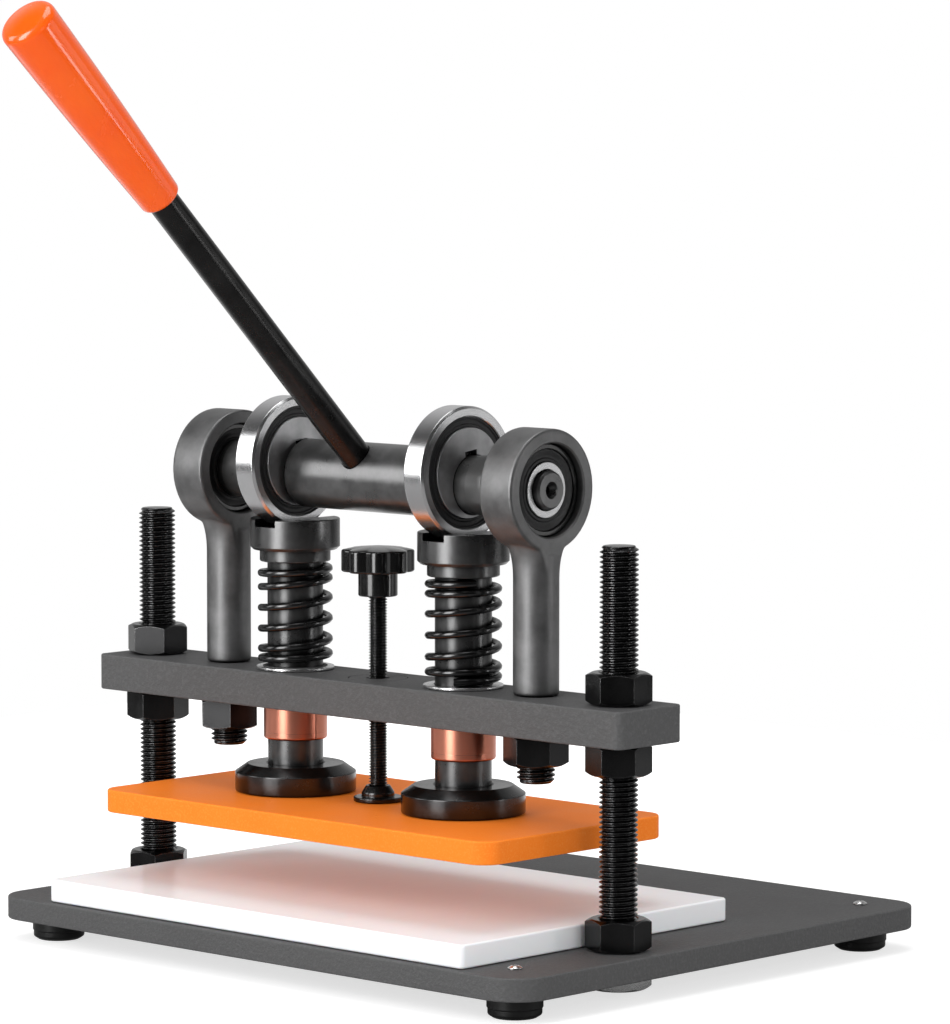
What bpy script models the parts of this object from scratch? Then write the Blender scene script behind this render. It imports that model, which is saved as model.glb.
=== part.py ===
"""Hand lever press for cutting leather with dies.

A base plate on rubber feet carries a cutting board and two threaded rods. The rods hold a crossbar
whose height is set with nuts. Two eye bolts on the crossbar carry a camshaft in ball bearings. The
lever turns the camshaft, and its two eccentric cams push bearing rollers against the slotted caps of
two sprung plungers, which drive the pressing plate down onto the die.

Metres, +Z up. X runs along the crossbar, Y = 0 is the plane of the rods and the shaft, and the lever
is pulled towards -Y. The whole press hangs on one empty, which centres its outline over the origin.
"""

import math

import bmesh
import bpy
from mathutils import Matrix, Vector

# Gaps and construction values
SEAT_GAP = 0.0003
FIT_GAP = 0.0003
OVERRUN = 0.002
WELD_DISTANCE = 0.000001
FULL_TURN = 2 * math.pi
MILLIMETRES = 1000
SHARP_ANGLE = math.radians(32)
LARGE_STEPS = 34
ROUND_STEPS = 26
MEDIUM_STEPS = 20
SMALL_STEPS = 14
TINY_STEPS = 10
CORNER_STEPS = 3
SIDES = {"left": -1, "right": 1}

# Feet and the screws that hold them
FOOT_RADIUS = 0.0140
FOOT_HEIGHT = 0.0112
FOOT_EDGE = 0.0010
FOOT_INSET = 0.0250
FOOT_SCREW_RADIUS = 0.0020
FOOT_SCREW_DEPTH = 0.0060
FOOT_SCREW_HEAD_RADIUS = 0.0037
FOOT_SCREW_HEAD_HEIGHT = 0.0014
FOOT_SCREW_CROWN_SHARE = 0.55

# Base plate
BASE_SIDE_MARGIN = 0.0236
BASE_FRONT = 0.0992
BASE_BACK = 0.2187
BASE_THICKNESS = 0.0120
BASE_CORNER = 0.0200
BASE_EDGE = 0.0010

# Cutting board
BOARD_NUT_GAP = 0.000457
BOARD_DEPTH = 0.2000
BOARD_THICKNESS = 0.0120
BOARD_CORNER = 0.0020
BOARD_EDGE = 0.0006
BOARD_SETBACK = 0.0038

# Threaded rods and their nuts, with the direction of one corner of each nut
ROD_RADIUS = 0.00975
ROD_EYE_NUT_GAP = 0.022314
ROD_TOP = 0.2261
ROD_END_CHAMFER = 0.0012
ROD_END_INSET = 0.0006
NUT_ACROSS_FLATS = 0.0290
NUT_HEIGHT = 0.0160
NUT_SIDES = 6
NUT_FACE_SHARE = 0.95
NUT_SIDE_SHARES = (0, 0.3, 0.7)
NUT_CHAMFER_ANGLE = math.radians(30)
THIN_NUT_HEIGHT = 0.0067
BASE_NUT_TURN = {"left": math.radians(10), "right": math.radians(40)}
LOWER_NUT_TURN = {"left": math.radians(48), "right": math.radians(41)}
UPPER_NUT_TURN = {"left": math.radians(29), "right": math.radians(38)}
EYE_NUT_TURN = {"left": math.radians(18), "right": math.radians(37)}

# Crossbar
HEAD_HEIGHT = 0.1043
BAR_END_MARGIN = 0.0216
BAR_DEPTH = 0.0481
BAR_THICKNESS = 0.0190
BAR_CORNER = 0.0030
BAR_EDGE = 0.0008
ROD_HOLE_GAP = 0.0006

# Eye bolts and the bearings in their eyes
EYE_CAP_GAP = 0.01575
EYE_HEIGHT = 0.1042
EYE_RADIUS = 0.0310
EYE_THICKNESS = 0.0220
EYE_EDGE = 0.0012
POST_RADIUS = 0.01175
NECK_RADIUS = 0.0185
NECK_DROP = 0.0245
NECK_LENGTH = 0.0200
NECK_STEPS = 5
STUD_RADIUS = 0.00975
STUD_REACH = 0.0090
STUD_CHAMFER = 0.0020
BEARING_RADIUS = 0.0235
BEARING_WIDTH = 0.0140
BEARING_LIP = 0.0028
BEARING_SEAL_RECESS = 0.0010
BEARING_HUB_RADIUS = 0.01425

# Camshaft and cams
JOURNAL_RADIUS = 0.0150
TUBE_RADIUS = 0.0180
TUBE_CAM_GAP = 0.0020
STUB_RADIUS = 0.0155
STUB_CAM_GAP = 0.0075
SHAFT_END_RADIUS = 0.00985
SHAFT_END_SETBACK = 0.0005
SHAFT_END_CHAMFER = 0.0010
SHAFT_CENTRE_RADIUS = 0.0039
SHAFT_CENTRE_DEPTH = 0.0080
CAM_RADIUS = 0.0233
CAM_WIDTH = 0.0150
ECCENTRICITY = 0.0072
CAM_LEAN = math.radians(30)
KEY_WIDTH = 0.0080
KEY_RISE = 0.0024
KEY_LENGTH = 0.0070
KEY_LEAN = math.radians(8)

# Bearing rollers on the cams
ROLLER_RADIUS = 0.0340
ROLLER_WIDTH = 0.0140
ROLLER_LIP = 0.0053
ROLLER_EDGE = 0.0012
ROLLER_SEAL_RECESS = 0.0010

# Lever and its grip, measured from the shaft's axis
LEVER_OFFSET = 0.0040
LEVER_LEAN = math.radians(45.5)
LEVER_RADIUS = 0.0080
LEVER_FOOT = 0.0008
LEVER_CHAMFER = 0.0008
GRIP_START = 0.2085
GRIP_LENGTH = 0.1270
GRIP_NECK_RADIUS = 0.01065
GRIP_HEAD_RADIUS = 0.0147
GRIP_NECK_ROUND = 0.0020
GRIP_HEAD_ROUND = 0.0045
GRIP_DOME = 0.0016
GRIP_BULGE = 0.0005
GRIP_SOCKET_DEPTH = 0.0900
GRIP_SIDE_STEPS = 6
GRIP_ROUND_STEPS = 3

# Plungers and their slotted caps
PLUNGER_SPACING = 0.1220
PLUNGER_RADIUS = 0.01465
PLUNGER_CHAMFER = 0.0006
PLUNGER_SOCKET_DEPTH = 0.0110
CAP_RADIUS = 0.02365
CAP_GROOVE_DEPTH = 0.0039
CAP_FLOOR = 0.0126
CAP_SIDE_GAP = 0.0005
CAP_EDGE = 0.0006
CAP_CHAMFER = 0.0016
COLLAR_RADIUS = 0.01865
COLLAR_HEIGHT = 0.0063

# Return springs on their washers
WASHER_RADIUS = 0.02065
WASHER_THICKNESS = 0.0015
WASHER_BORE_GAP = 0.0006
SPRING_RADIUS = 0.0179
SPRING_WIRE_RADIUS = 0.0020
SPRING_TURNS = 6.1
SPRING_POINTS_PER_TURN = 10
SPRING_CLOSED_PITCH = 0.0048
SPRING_CLOSED_TURNS = 1.1
SPRING_BLEND_TURNS = 0.5
SPRING_START = {"left": math.radians(190), "right": math.radians(-62)}

# Guide bushes, split down one side
BUSH_RADIUS = 0.01675
BUSH_DROP = 0.0177
BUSH_EDGE = 0.0012
BUSH_SEAM = 0.0006
BUSH_SEAM_TURN = {"left": math.radians(-5), "right": math.radians(150)}

# Pressure pads
PAD_RADIUS = 0.0320
PAD_BAND = 0.0101
PAD_CHAMFER_WIDTH = 0.0063
PAD_CHAMFER_HEIGHT = 0.0044
PAD_EDGE = 0.0008
PAD_SOCKET_DEPTH = 0.0090
PRESS_DROP = 0.1405

# Pressing plate and the screws that hold it to the plungers
PLATE_ROD_GAP = 0.01685
PLATE_DEPTH = 0.1371
PLATE_THICKNESS = 0.0120
PLATE_CORNER = 0.0120
PLATE_EDGE = 0.0008
PIN_HOLE_RADIUS = 0.0010
PIN_HOLE_DEPTH = 0.0040
PIN_HOLE_X = 0.0390
PIN_HOLE_Y = 0.0410
PLATE_SCREW_RADIUS = 0.0040
PLATE_SCREW_HEAD_RADIUS = 0.0078
PLATE_SCREW_RIM = 0.0005
PLATE_SCREW_GRIP = 0.0120

# Adjusting screw with its bush, swivel foot and star knob
SCREW_RADIUS = 0.0048
SCREW_CHAMFER = 0.0008
SCREW_BUSH_RADIUS = 0.0157
SWIVEL_RADIUS = 0.0128
SWIVEL_RIM = 0.0024
SWIVEL_DOME_RADIUS = 0.0086
SWIVEL_NECK_RADIUS = 0.0062
SWIVEL_HEIGHT = 0.0082
SWIVEL_SOCKET_DEPTH = 0.0046
SWIVEL_DOME_STEPS = 3
KNOB_LIFT = 0.0429
KNOB_HUB_RADIUS = 0.01025
KNOB_HUB_HEIGHT = 0.0125
KNOB_RADIUS = 0.0190
KNOB_WAIST_RADIUS = 0.0164
KNOB_LOBES = 8
KNOB_STEPS_PER_LOBE = 5
KNOB_LOBE_FULLNESS = 0.6
KNOB_RIM_HEIGHT = 0.0117
KNOB_ROUND = 0.0010
KNOB_CROWN = 0.0016
KNOB_CROWN_SHARES = ((0.62, 0.65), (0.2, 1))
KNOB_SOCKET_DEPTH = 0.0185

# Levels worked out from the sizes above
BASE_BOTTOM = FOOT_HEIGHT + SEAT_GAP
BASE_TOP = BASE_BOTTOM + BASE_THICKNESS
BOARD_BOTTOM = BASE_TOP + SEAT_GAP
BASE_NUT_BOTTOM = BASE_TOP + SEAT_GAP
UNDER_NUT_BOTTOM = BASE_BOTTOM - SEAT_GAP - THIN_NUT_HEIGHT
BAR_BOTTOM = BASE_TOP + HEAD_HEIGHT
BAR_TOP = BAR_BOTTOM + BAR_THICKNESS
LOWER_NUT_BOTTOM = BAR_BOTTOM - SEAT_GAP - NUT_HEIGHT
UPPER_NUT_BOTTOM = BAR_TOP + SEAT_GAP
SHAFT_Z = BAR_TOP + EYE_HEIGHT
STUD_END = LOWER_NUT_BOTTOM - STUD_REACH
ROLLER_Y = -ECCENTRICITY * math.sin(CAM_LEAN)
ROLLER_RISE = ECCENTRICITY * math.cos(CAM_LEAN)
GROOVE_Z = SHAFT_Z + ROLLER_RISE - ROLLER_RADIUS - SEAT_GAP
CAP_TOP = GROOVE_Z + CAP_GROOVE_DEPTH
CAP_BOTTOM = GROOVE_Z - CAP_FLOOR
COLLAR_BOTTOM = CAP_BOTTOM - COLLAR_HEIGHT
CAP_SOCKET_TOP = COLLAR_BOTTOM + PLUNGER_SOCKET_DEPTH
WASHER_BOTTOM = BAR_TOP + SEAT_GAP
WASHER_TOP = WASHER_BOTTOM + WASHER_THICKNESS
PAD_BOTTOM = GROOVE_Z - PRESS_DROP
PAD_TOP = PAD_BOTTOM + PAD_BAND + PAD_CHAMFER_HEIGHT
PAD_SOCKET_FLOOR = PAD_TOP - PAD_SOCKET_DEPTH
PLATE_TOP = PAD_BOTTOM - SEAT_GAP
PLATE_BOTTOM = PLATE_TOP - PLATE_THICKNESS
PLUNGER_BOTTOM = PAD_SOCKET_FLOOR + SEAT_GAP
PLUNGER_TOP = CAP_SOCKET_TOP - SEAT_GAP
SWIVEL_BOTTOM = PLATE_TOP + SEAT_GAP
KNOB_BOTTOM = BAR_TOP + KNOB_LIFT

# Places along the crossbar
PLUNGER_X = PLUNGER_SPACING / 2
EYE_X = PLUNGER_X + CAP_RADIUS + EYE_CAP_GAP + EYE_THICKNESS / 2
NUT_REACH = NUT_ACROSS_FLATS / 2 / math.cos(math.pi / NUT_SIDES)
ROD_X = EYE_X + NUT_REACH + ROD_EYE_NUT_GAP + NUT_REACH
BAR_LENGTH = 2 * (ROD_X + BAR_END_MARGIN)
BASE_WIDTH = 2 * (ROD_X + BASE_SIDE_MARGIN)
BOARD_WIDTH = 2 * (ROD_X - NUT_REACH - BOARD_NUT_GAP)
PLATE_WIDTH = 2 * (ROD_X - ROD_RADIUS - PLATE_ROD_GAP)


def clear_scene():
    for obj in list(bpy.data.objects):
        bpy.data.objects.remove(obj, do_unlink=True)


def finish(name, colour, roughness, metallic=0.0, coat=0.0):
    """A Principled material for one kind of surface."""
    made = bpy.data.materials.new(name)
    made.use_nodes = True
    shader = made.node_tree.nodes["Principled BSDF"]
    shader.inputs["Base Color"].default_value = (*colour, 1)
    shader.inputs["Roughness"].default_value = roughness
    shader.inputs["Metallic"].default_value = metallic
    shader.inputs["Coat Weight"].default_value = coat
    made.diffuse_color = (*colour, 1)
    return made


def make_finishes():
    return {
        "black_paint": finish("black_paint", (0.045, 0.045, 0.047), 0.55),
        "orange_paint": finish("orange_paint", (0.93, 0.16, 0.015), 0.45),
        "black_oxide": finish("black_oxide", (0.012, 0.012, 0.013), 0.35, 0.6),
        "dark_steel": finish("dark_steel", (0.09, 0.09, 0.095), 0.38, 0.85),
        "bearing_steel": finish("bearing_steel", (0.62, 0.62, 0.63), 0.15, 1.0),
        "zinc": finish("zinc", (0.72, 0.72, 0.73), 0.3, 1.0),
        "copper": finish("copper", (0.78, 0.36, 0.22), 0.28, 1.0),
        "black_plastic": finish("black_plastic", (0.012, 0.012, 0.013), 0.2, 0.0, 0.4),
        "orange_plastic": finish("orange_plastic", (0.96, 0.13, 0.005), 0.2, 0.0, 0.5),
        "rubber": finish("rubber", (0.015, 0.015, 0.015), 0.5),
        "seal": finish("seal", (0.02, 0.02, 0.02), 0.5),
        "white_board": finish("white_board", (0.9, 0.9, 0.9), 0.22),
    }


def add_object(name, data, parent=None, location=(0, 0, 0), rotation=(0, 0, 0)):
    made = bpy.data.objects.new(name, data)
    bpy.context.scene.collection.objects.link(made)
    made.parent = parent
    made.location = location
    made.rotation_euler = rotation
    return made


def place(name, mesh, material, parent, location=(0, 0, 0), rotation=(0, 0, 0)):
    """One named sub-part in its material. Pieces that repeat share their mesh."""
    mesh.materials.clear()
    mesh.materials.append(material)
    return add_object(name, mesh, parent, location, rotation)


def smooth(mesh):
    mesh.shade_smooth()
    mesh.set_sharp_from_angle(angle=SHARP_ANGLE)
    return mesh


def mesh_from(name, bm):
    """The bmesh as a closed mesh facing out, with smooth round sides and sharp edges."""
    bmesh.ops.remove_doubles(bm, verts=bm.verts, dist=WELD_DISTANCE)
    bmesh.ops.recalc_face_normals(bm, faces=bm.faces)
    mesh = bpy.data.meshes.new(name)
    bm.to_mesh(mesh)
    bm.free()
    return smooth(mesh)


def turned(name, outline, steps=ROUND_STEPS, axis="Z"):
    """A solid of revolution from (radius, height) points. An outline off the axis makes a ring."""
    bm = bmesh.new()
    corners = [bm.verts.new((radius, 0, height)) for radius, height in outline]
    edges = [bm.edges.new(pair) for pair in zip(corners, corners[1:])]
    if outline[0][0] > 0:
        edges.append(bm.edges.new((corners[-1], corners[0])))
    bmesh.ops.spin(
        bm, geom=corners + edges, cent=(0, 0, 0), axis=(0, 0, 1), angle=FULL_TURN, steps=steps
    )
    if axis == "X":
        bm.transform(Matrix.Rotation(math.pi / 2, 4, "Y"))
    return mesh_from(name, bm)


def ring_outline(outer, inner, bottom, top, edge=0.0):
    """The outline of a ring, with a chamfer on its two outer edges where edge is given."""
    if not edge:
        return [(inner, top), (outer, top), (outer, bottom), (inner, bottom)]
    return [
        (inner, top),
        (outer - edge, top),
        (outer, top - edge),
        (outer, bottom + edge),
        (outer - edge, bottom),
        (inner, bottom),
    ]


def arc(centre, radius, start, end, steps):
    """Points of an arc about a centre, between two angles from the first direction."""
    across, along = centre
    angles = [start + (end - start) * step / steps for step in range(steps + 1)]
    return [(across + radius * math.cos(turn), along + radius * math.sin(turn)) for turn in angles]


def lofted(name, rings, closed_loop=False):
    """A skin over rings of equally many points. Its end rings are capped unless it closes on itself."""
    bm = bmesh.new()
    rows = [[bm.verts.new(point) for point in ring] for ring in rings]
    pairs = list(zip(rows, rows[1:]))
    if closed_loop:
        pairs.append((rows[-1], rows[0]))
    else:
        bm.faces.new(rows[0])
        bm.faces.new(rows[-1])
    for lower, upper in pairs:
        for index in range(len(lower)):
            before = index - 1
            bm.faces.new((lower[before], lower[index], upper[index], upper[before]))
    return mesh_from(name, bm)


def rounded_rectangle(left, right, front, back, radius):
    """The outline of a rectangle with round corners, anticlockwise from its right front corner."""
    corners = (
        (right - radius, front + radius, -math.pi / 2),
        (right - radius, back - radius, 0),
        (left + radius, back - radius, math.pi / 2),
        (left + radius, front + radius, math.pi),
    )
    outline = []
    for x, y, start in corners:
        outline += arc((x, y), radius, start, start + math.pi / 2, CORNER_STEPS)
    return outline


def slab_mesh(name, outline, bottom, top, edge):
    """A plate of the given outline between two levels, with a chamfer round both faces."""
    bm = bmesh.new()
    bm.faces.new([bm.verts.new((x, y, bottom)) for x, y in outline])
    raised = bmesh.ops.extrude_face_region(bm, geom=bm.faces[:])
    lifted = [item for item in raised["geom"] if isinstance(item, bmesh.types.BMVert)]
    bmesh.ops.translate(bm, vec=(0, 0, top - bottom), verts=lifted)
    flats = [face for face in bm.faces if len(face.verts) == len(outline)]
    rims = {rim for face in flats for rim in face.edges}
    bmesh.ops.bevel(bm, geom=list(rims), offset=edge, segments=1, affect="EDGES", profile=0.5)
    return mesh_from(name, bm)


def box_mesh(name, size, centre=(0, 0, 0)):
    bm = bmesh.new()
    bmesh.ops.create_cube(bm, size=1)
    bm.transform(Matrix.Translation(centre) @ Matrix.Diagonal((*size, 1)))
    return mesh_from(name, bm)


def rod_mesh(name, radius, bottom, top, steps, axis="Z"):
    return turned(name, [(0, top), (radius, top), (radius, bottom), (0, bottom)], steps, axis)


def shape(obj, operation, tool):
    """Unites, intersects or cuts the object with a helper mesh or object, which isn't rendered."""
    if isinstance(tool, bpy.types.Mesh):
        tool = add_object(f"{tool.name}_helper", tool, obj)
    tool.hide_render = True
    tool.display_type = "WIRE"
    modifier = obj.modifiers.new(tool.name, "BOOLEAN")
    modifier.operation = operation
    modifier.solver = "EXACT"
    modifier.object = tool


def baked(body):
    """The body's mesh with its Booleans applied. The body and its helpers leave the scene."""
    bpy.context.view_layer.update()
    graph = bpy.context.evaluated_depsgraph_get()
    mesh = bpy.data.meshes.new_from_object(body.evaluated_get(graph))
    mesh.name = body.data.name
    for used in (*body.children_recursive, body):
        bpy.data.objects.remove(used, do_unlink=True)
    return smooth(mesh)


def drill(obj, holes, bottom, top, steps):
    """Cuts upright round holes, each given by its place (x, y) and its radius."""
    bm = bmesh.new()
    for x, y, radius in holes:
        bmesh.ops.create_cone(
            bm, cap_ends=True, segments=steps, radius1=radius, radius2=radius, depth=top - bottom,
            matrix=Matrix.Translation((x, y, (bottom + top) / 2))
        )
    shape(obj, "DIFFERENCE", mesh_from(f"{obj.name}_holes_{steps}", bm))


def nut_mesh(name, height, bore):
    """A hexagon nut with both ends chamfered, lofted through the hexagon and the chamfer's cone."""
    half_flat = NUT_ACROSS_FLATS / 2
    face = half_flat * NUT_FACE_SHARE
    side_turn = FULL_TURN / NUT_SIDES
    turns = [side_turn * (side + share) for side in range(NUT_SIDES) for share in NUT_SIDE_SHARES]
    reach = [half_flat / math.cos(turn % side_turn - side_turn / 2) for turn in turns]
    drop = [(radius - face) * math.tan(NUT_CHAMFER_ANGLE) for radius in reach]

    def ring(radii, levels):
        return [
            (radius * math.cos(turn), radius * math.sin(turn), level)
            for radius, turn, level in zip(radii, turns, levels)
        ]

    count = len(turns)
    rings = [
        ring([bore] * count, [0] * count),
        ring([face] * count, [0] * count),
        ring(reach, drop),
        ring(reach, [height - each for each in drop]),
        ring([face] * count, [height] * count),
        ring([bore] * count, [height] * count),
    ]
    return lofted(name, rings, closed_loop=True)


def build_base(press, look):
    """Base plate on four rubber feet, each held by a screw from above."""
    half = BASE_WIDTH / 2
    outline = rounded_rectangle(-half, half, -BASE_FRONT, BASE_BACK, BASE_CORNER)
    mesh = slab_mesh("base_plate", outline, BASE_BOTTOM, BASE_TOP, BASE_EDGE)
    plate = place("base_plate", mesh, look["black_paint"], press)
    foot_places = {
        f"{end}_{name}": (side * (half - FOOT_INSET), y)
        for name, side in SIDES.items()
        for end, y in (("front", FOOT_INSET - BASE_FRONT), ("back", BASE_BACK - FOOT_INSET))
    }
    bottom = BASE_BOTTOM - OVERRUN
    top = BASE_TOP + OVERRUN
    screw_hole = FOOT_SCREW_RADIUS + FIT_GAP
    rod_holes = [(side * ROD_X, 0, ROD_RADIUS + ROD_HOLE_GAP) for side in SIDES.values()]
    drill(plate, rod_holes, bottom, top, MEDIUM_STEPS)
    drill(plate, [(x, y, screw_hole) for x, y in foot_places.values()], bottom, top, TINY_STEPS)

    socket_floor = FOOT_HEIGHT - FOOT_SCREW_DEPTH
    foot = turned("foot", [
        (0, socket_floor),
        (screw_hole, socket_floor),
        (screw_hole, FOOT_HEIGHT),
        (FOOT_RADIUS, FOOT_HEIGHT),
        (FOOT_RADIUS, FOOT_EDGE),
        (FOOT_RADIUS - FOOT_EDGE, 0),
        (0, 0),
    ], MEDIUM_STEPS)
    seat = BASE_TOP + SEAT_GAP
    crown = seat + FOOT_SCREW_HEAD_HEIGHT
    screw = turned("foot_screw", [
        (0, crown),
        (FOOT_SCREW_HEAD_RADIUS * FOOT_SCREW_CROWN_SHARE, crown),
        (FOOT_SCREW_HEAD_RADIUS, seat + FOOT_SCREW_HEAD_HEIGHT * (1 - FOOT_SCREW_CROWN_SHARE)),
        (FOOT_SCREW_HEAD_RADIUS, seat),
        (FOOT_SCREW_RADIUS, seat),
        (FOOT_SCREW_RADIUS, socket_floor + SEAT_GAP),
        (0, socket_floor + SEAT_GAP),
    ], TINY_STEPS)
    for name, (x, y) in foot_places.items():
        place(f"foot_{name}", foot, look["rubber"], press, (x, y, 0))
        place(f"foot_screw_{name}", screw, look["zinc"], press, (x, y, 0))


def build_rods(press, look):
    """Two threaded rods, each clamped to the base plate between a nut and a thin nut below."""
    bottom = UNDER_NUT_BOTTOM + ROD_END_INSET
    narrow = ROD_RADIUS - ROD_END_CHAMFER
    rod = turned("threaded_rod", [
        (0, ROD_TOP),
        (narrow, ROD_TOP),
        (ROD_RADIUS, ROD_TOP - ROD_END_CHAMFER),
        (ROD_RADIUS, bottom + ROD_END_CHAMFER),
        (narrow, bottom),
        (0, bottom),
    ], MEDIUM_STEPS)
    bore = ROD_RADIUS + FIT_GAP
    nut = nut_mesh("base_nut", NUT_HEIGHT, bore)
    thin_nut = nut_mesh("under_nut", THIN_NUT_HEIGHT, bore)
    for name, side in SIDES.items():
        place(f"threaded_rod_{name}", rod, look["black_oxide"], press, (side * ROD_X, 0, 0))
        turn = (0, 0, BASE_NUT_TURN[name])
        place(f"base_nut_{name}", nut, look["black_oxide"], press,
              (side * ROD_X, 0, BASE_NUT_BOTTOM), turn)
        place(f"under_nut_{name}", thin_nut, look["zinc"], press,
              (side * ROD_X, 0, UNDER_NUT_BOTTOM), turn)


def build_board(press, look):
    """The cutting board, loose on the base plate."""
    centre_y = BOARD_SETBACK - BASE_FRONT + BOARD_DEPTH / 2
    half_width = BOARD_WIDTH / 2
    half_depth = BOARD_DEPTH / 2
    outline = rounded_rectangle(-half_width, half_width, -half_depth, half_depth, BOARD_CORNER)
    mesh = slab_mesh("cutting_board", outline, 0, BOARD_THICKNESS, BOARD_EDGE)
    place("cutting_board", mesh, look["white_board"], press, (0, centre_y, BOARD_BOTTOM))


def build_crossbar(head, look):
    """The crossbar, drilled for the rods, guide bushes, eye bolts and screw bush, with its nuts."""
    half_length = BAR_LENGTH / 2
    half_depth = BAR_DEPTH / 2
    outline = rounded_rectangle(-half_length, half_length, -half_depth, half_depth, BAR_CORNER)
    mesh = slab_mesh("crossbar", outline, BAR_BOTTOM, BAR_TOP, BAR_EDGE)
    bar = place("crossbar", mesh, look["black_paint"], head)
    bottom = BAR_BOTTOM - OVERRUN
    top = BAR_TOP + OVERRUN
    narrow_holes = [(side * ROD_X, 0, ROD_RADIUS + ROD_HOLE_GAP) for side in SIDES.values()]
    narrow_holes += [(side * EYE_X, 0, STUD_RADIUS + FIT_GAP) for side in SIDES.values()]
    wide_holes = [(side * PLUNGER_X, 0, BUSH_RADIUS + FIT_GAP) for side in SIDES.values()]
    wide_holes.append((0, 0, SCREW_BUSH_RADIUS + FIT_GAP))
    drill(bar, narrow_holes, bottom, top, MEDIUM_STEPS)
    drill(bar, wide_holes, bottom, top, ROUND_STEPS)

    nut = nut_mesh("rod_nut", NUT_HEIGHT, ROD_RADIUS + FIT_GAP)
    for name, side in SIDES.items():
        place(f"lower_nut_{name}", nut, look["black_oxide"], head,
              (side * ROD_X, 0, LOWER_NUT_BOTTOM), (0, 0, LOWER_NUT_TURN[name]))
        place(f"upper_nut_{name}", nut, look["black_oxide"], head,
              (side * ROD_X, 0, UPPER_NUT_BOTTOM), (0, 0, UPPER_NUT_TURN[name]))


def eye_bolt_mesh():
    """A forged eye bolt about the centre of its eye: the ring, a flared neck, a post and its stud."""
    half = EYE_THICKNESS / 2
    bore = BEARING_RADIUS + FIT_GAP
    ring = ring_outline(EYE_RADIUS, bore, -half, half, EYE_EDGE)
    body = add_object("eye_ring", turned("eye_bolt", ring, LARGE_STEPS, "X"))
    neck_bottom = -NECK_DROP - NECK_LENGTH
    flare = [
        (NECK_RADIUS - (NECK_RADIUS - POST_RADIUS) * across, neck_bottom + NECK_LENGTH * along)
        for along, across in arc((0, 0), 1, 0, math.pi / 2, NECK_STEPS)
    ]
    neck_mesh = turned("eye_neck", [(0, -NECK_DROP), *flare, (0, neck_bottom)], MEDIUM_STEPS)
    neck = add_object("eye_neck", neck_mesh, body)
    slab = box_mesh(
        "neck_slab", (EYE_THICKNESS, 2 * NECK_RADIUS + OVERRUN, NECK_LENGTH + OVERRUN),
        (0, 0, neck_bottom + NECK_LENGTH / 2)
    )
    shape(neck, "INTERSECT", slab)
    shape(body, "UNION", neck)
    shoulder = BAR_TOP + SEAT_GAP - SHAFT_Z
    stud_end = STUD_END - SHAFT_Z
    shape(body, "UNION", turned("eye_post", [
        (0, neck_bottom + POST_RADIUS),
        (POST_RADIUS, neck_bottom + POST_RADIUS),
        (POST_RADIUS, shoulder),
        (STUD_RADIUS, shoulder),
        (STUD_RADIUS, stud_end + STUD_CHAMFER),
        (STUD_RADIUS - STUD_CHAMFER, stud_end),
        (0, stud_end),
    ], MEDIUM_STEPS))
    cleared = rod_mesh("eye_bore", bore, -EYE_THICKNESS, EYE_THICKNESS, LARGE_STEPS, "X")
    shape(body, "DIFFERENCE", cleared)
    return baked(body)


def build_eyes(head, look):
    """The eye bolts with their nuts, and the outer ring and seal of the bearing in each eye."""
    bolt = eye_bolt_mesh()
    nut = nut_mesh("eye_nut", NUT_HEIGHT, STUD_RADIUS + FIT_GAP)
    half = BEARING_WIDTH / 2
    inner = BEARING_RADIUS - BEARING_LIP
    ring = turned("eye_bearing_ring", ring_outline(BEARING_RADIUS, inner, -half, half), axis="X")
    seal_half = half - BEARING_SEAL_RECESS
    seal = turned(
        "eye_bearing_seal",
        ring_outline(inner - FIT_GAP, BEARING_HUB_RADIUS + FIT_GAP, -seal_half, seal_half), axis="X"
    )
    for name, side in SIDES.items():
        centre = (side * EYE_X, 0, SHAFT_Z)
        place(f"eye_bolt_{name}", bolt, look["dark_steel"], head, centre)
        place(f"eye_bearing_ring_{name}", ring, look["bearing_steel"], head, centre)
        place(f"eye_bearing_seal_{name}", seal, look["seal"], head, centre)
        place(f"eye_nut_{name}", nut, look["black_oxide"], head,
              (side * EYE_X, 0, LOWER_NUT_BOTTOM), (0, 0, EYE_NUT_TURN[name]))


def bush_mesh():
    """A guide bush rolled from sheet, split along its seam at +X."""
    inner = PLUNGER_RADIUS + FIT_GAP
    bottom = BAR_BOTTOM - BUSH_DROP
    body = add_object("bush_body", turned("guide_bush", [
        (inner, BAR_TOP),
        (BUSH_RADIUS, BAR_TOP),
        (BUSH_RADIUS, bottom + BUSH_EDGE),
        (BUSH_RADIUS - BUSH_EDGE, bottom),
        (inner, bottom),
    ]))
    height = BAR_TOP - bottom + 2 * OVERRUN
    seam = box_mesh(
        "bush_seam", (BUSH_RADIUS, BUSH_SEAM, height), (BUSH_RADIUS, 0, (BAR_TOP + bottom) / 2)
    )
    shape(body, "DIFFERENCE", seam)
    return baked(body)


def build_guides(head, look):
    """Guide bushes and spring washers of the plungers, and the plain bush of the screw."""
    bush = bush_mesh()
    washer_bore = PLUNGER_RADIUS + WASHER_BORE_GAP
    washer = turned(
        "spring_washer", ring_outline(WASHER_RADIUS, washer_bore, WASHER_BOTTOM, WASHER_TOP)
    )
    for name, side in SIDES.items():
        place(f"guide_bush_{name}", bush, look["copper"], head,
              (side * PLUNGER_X, 0, 0), (0, 0, BUSH_SEAM_TURN[name]))
        place(f"spring_washer_{name}", washer, look["zinc"], head, (side * PLUNGER_X, 0, 0))
    screw_bore = SCREW_RADIUS + FIT_GAP
    screw_bush = turned(
        "screw_bush", ring_outline(SCREW_BUSH_RADIUS, screw_bore, BAR_BOTTOM, BAR_TOP), MEDIUM_STEPS
    )
    place("screw_bush", screw_bush, look["dark_steel"], head)


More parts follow.
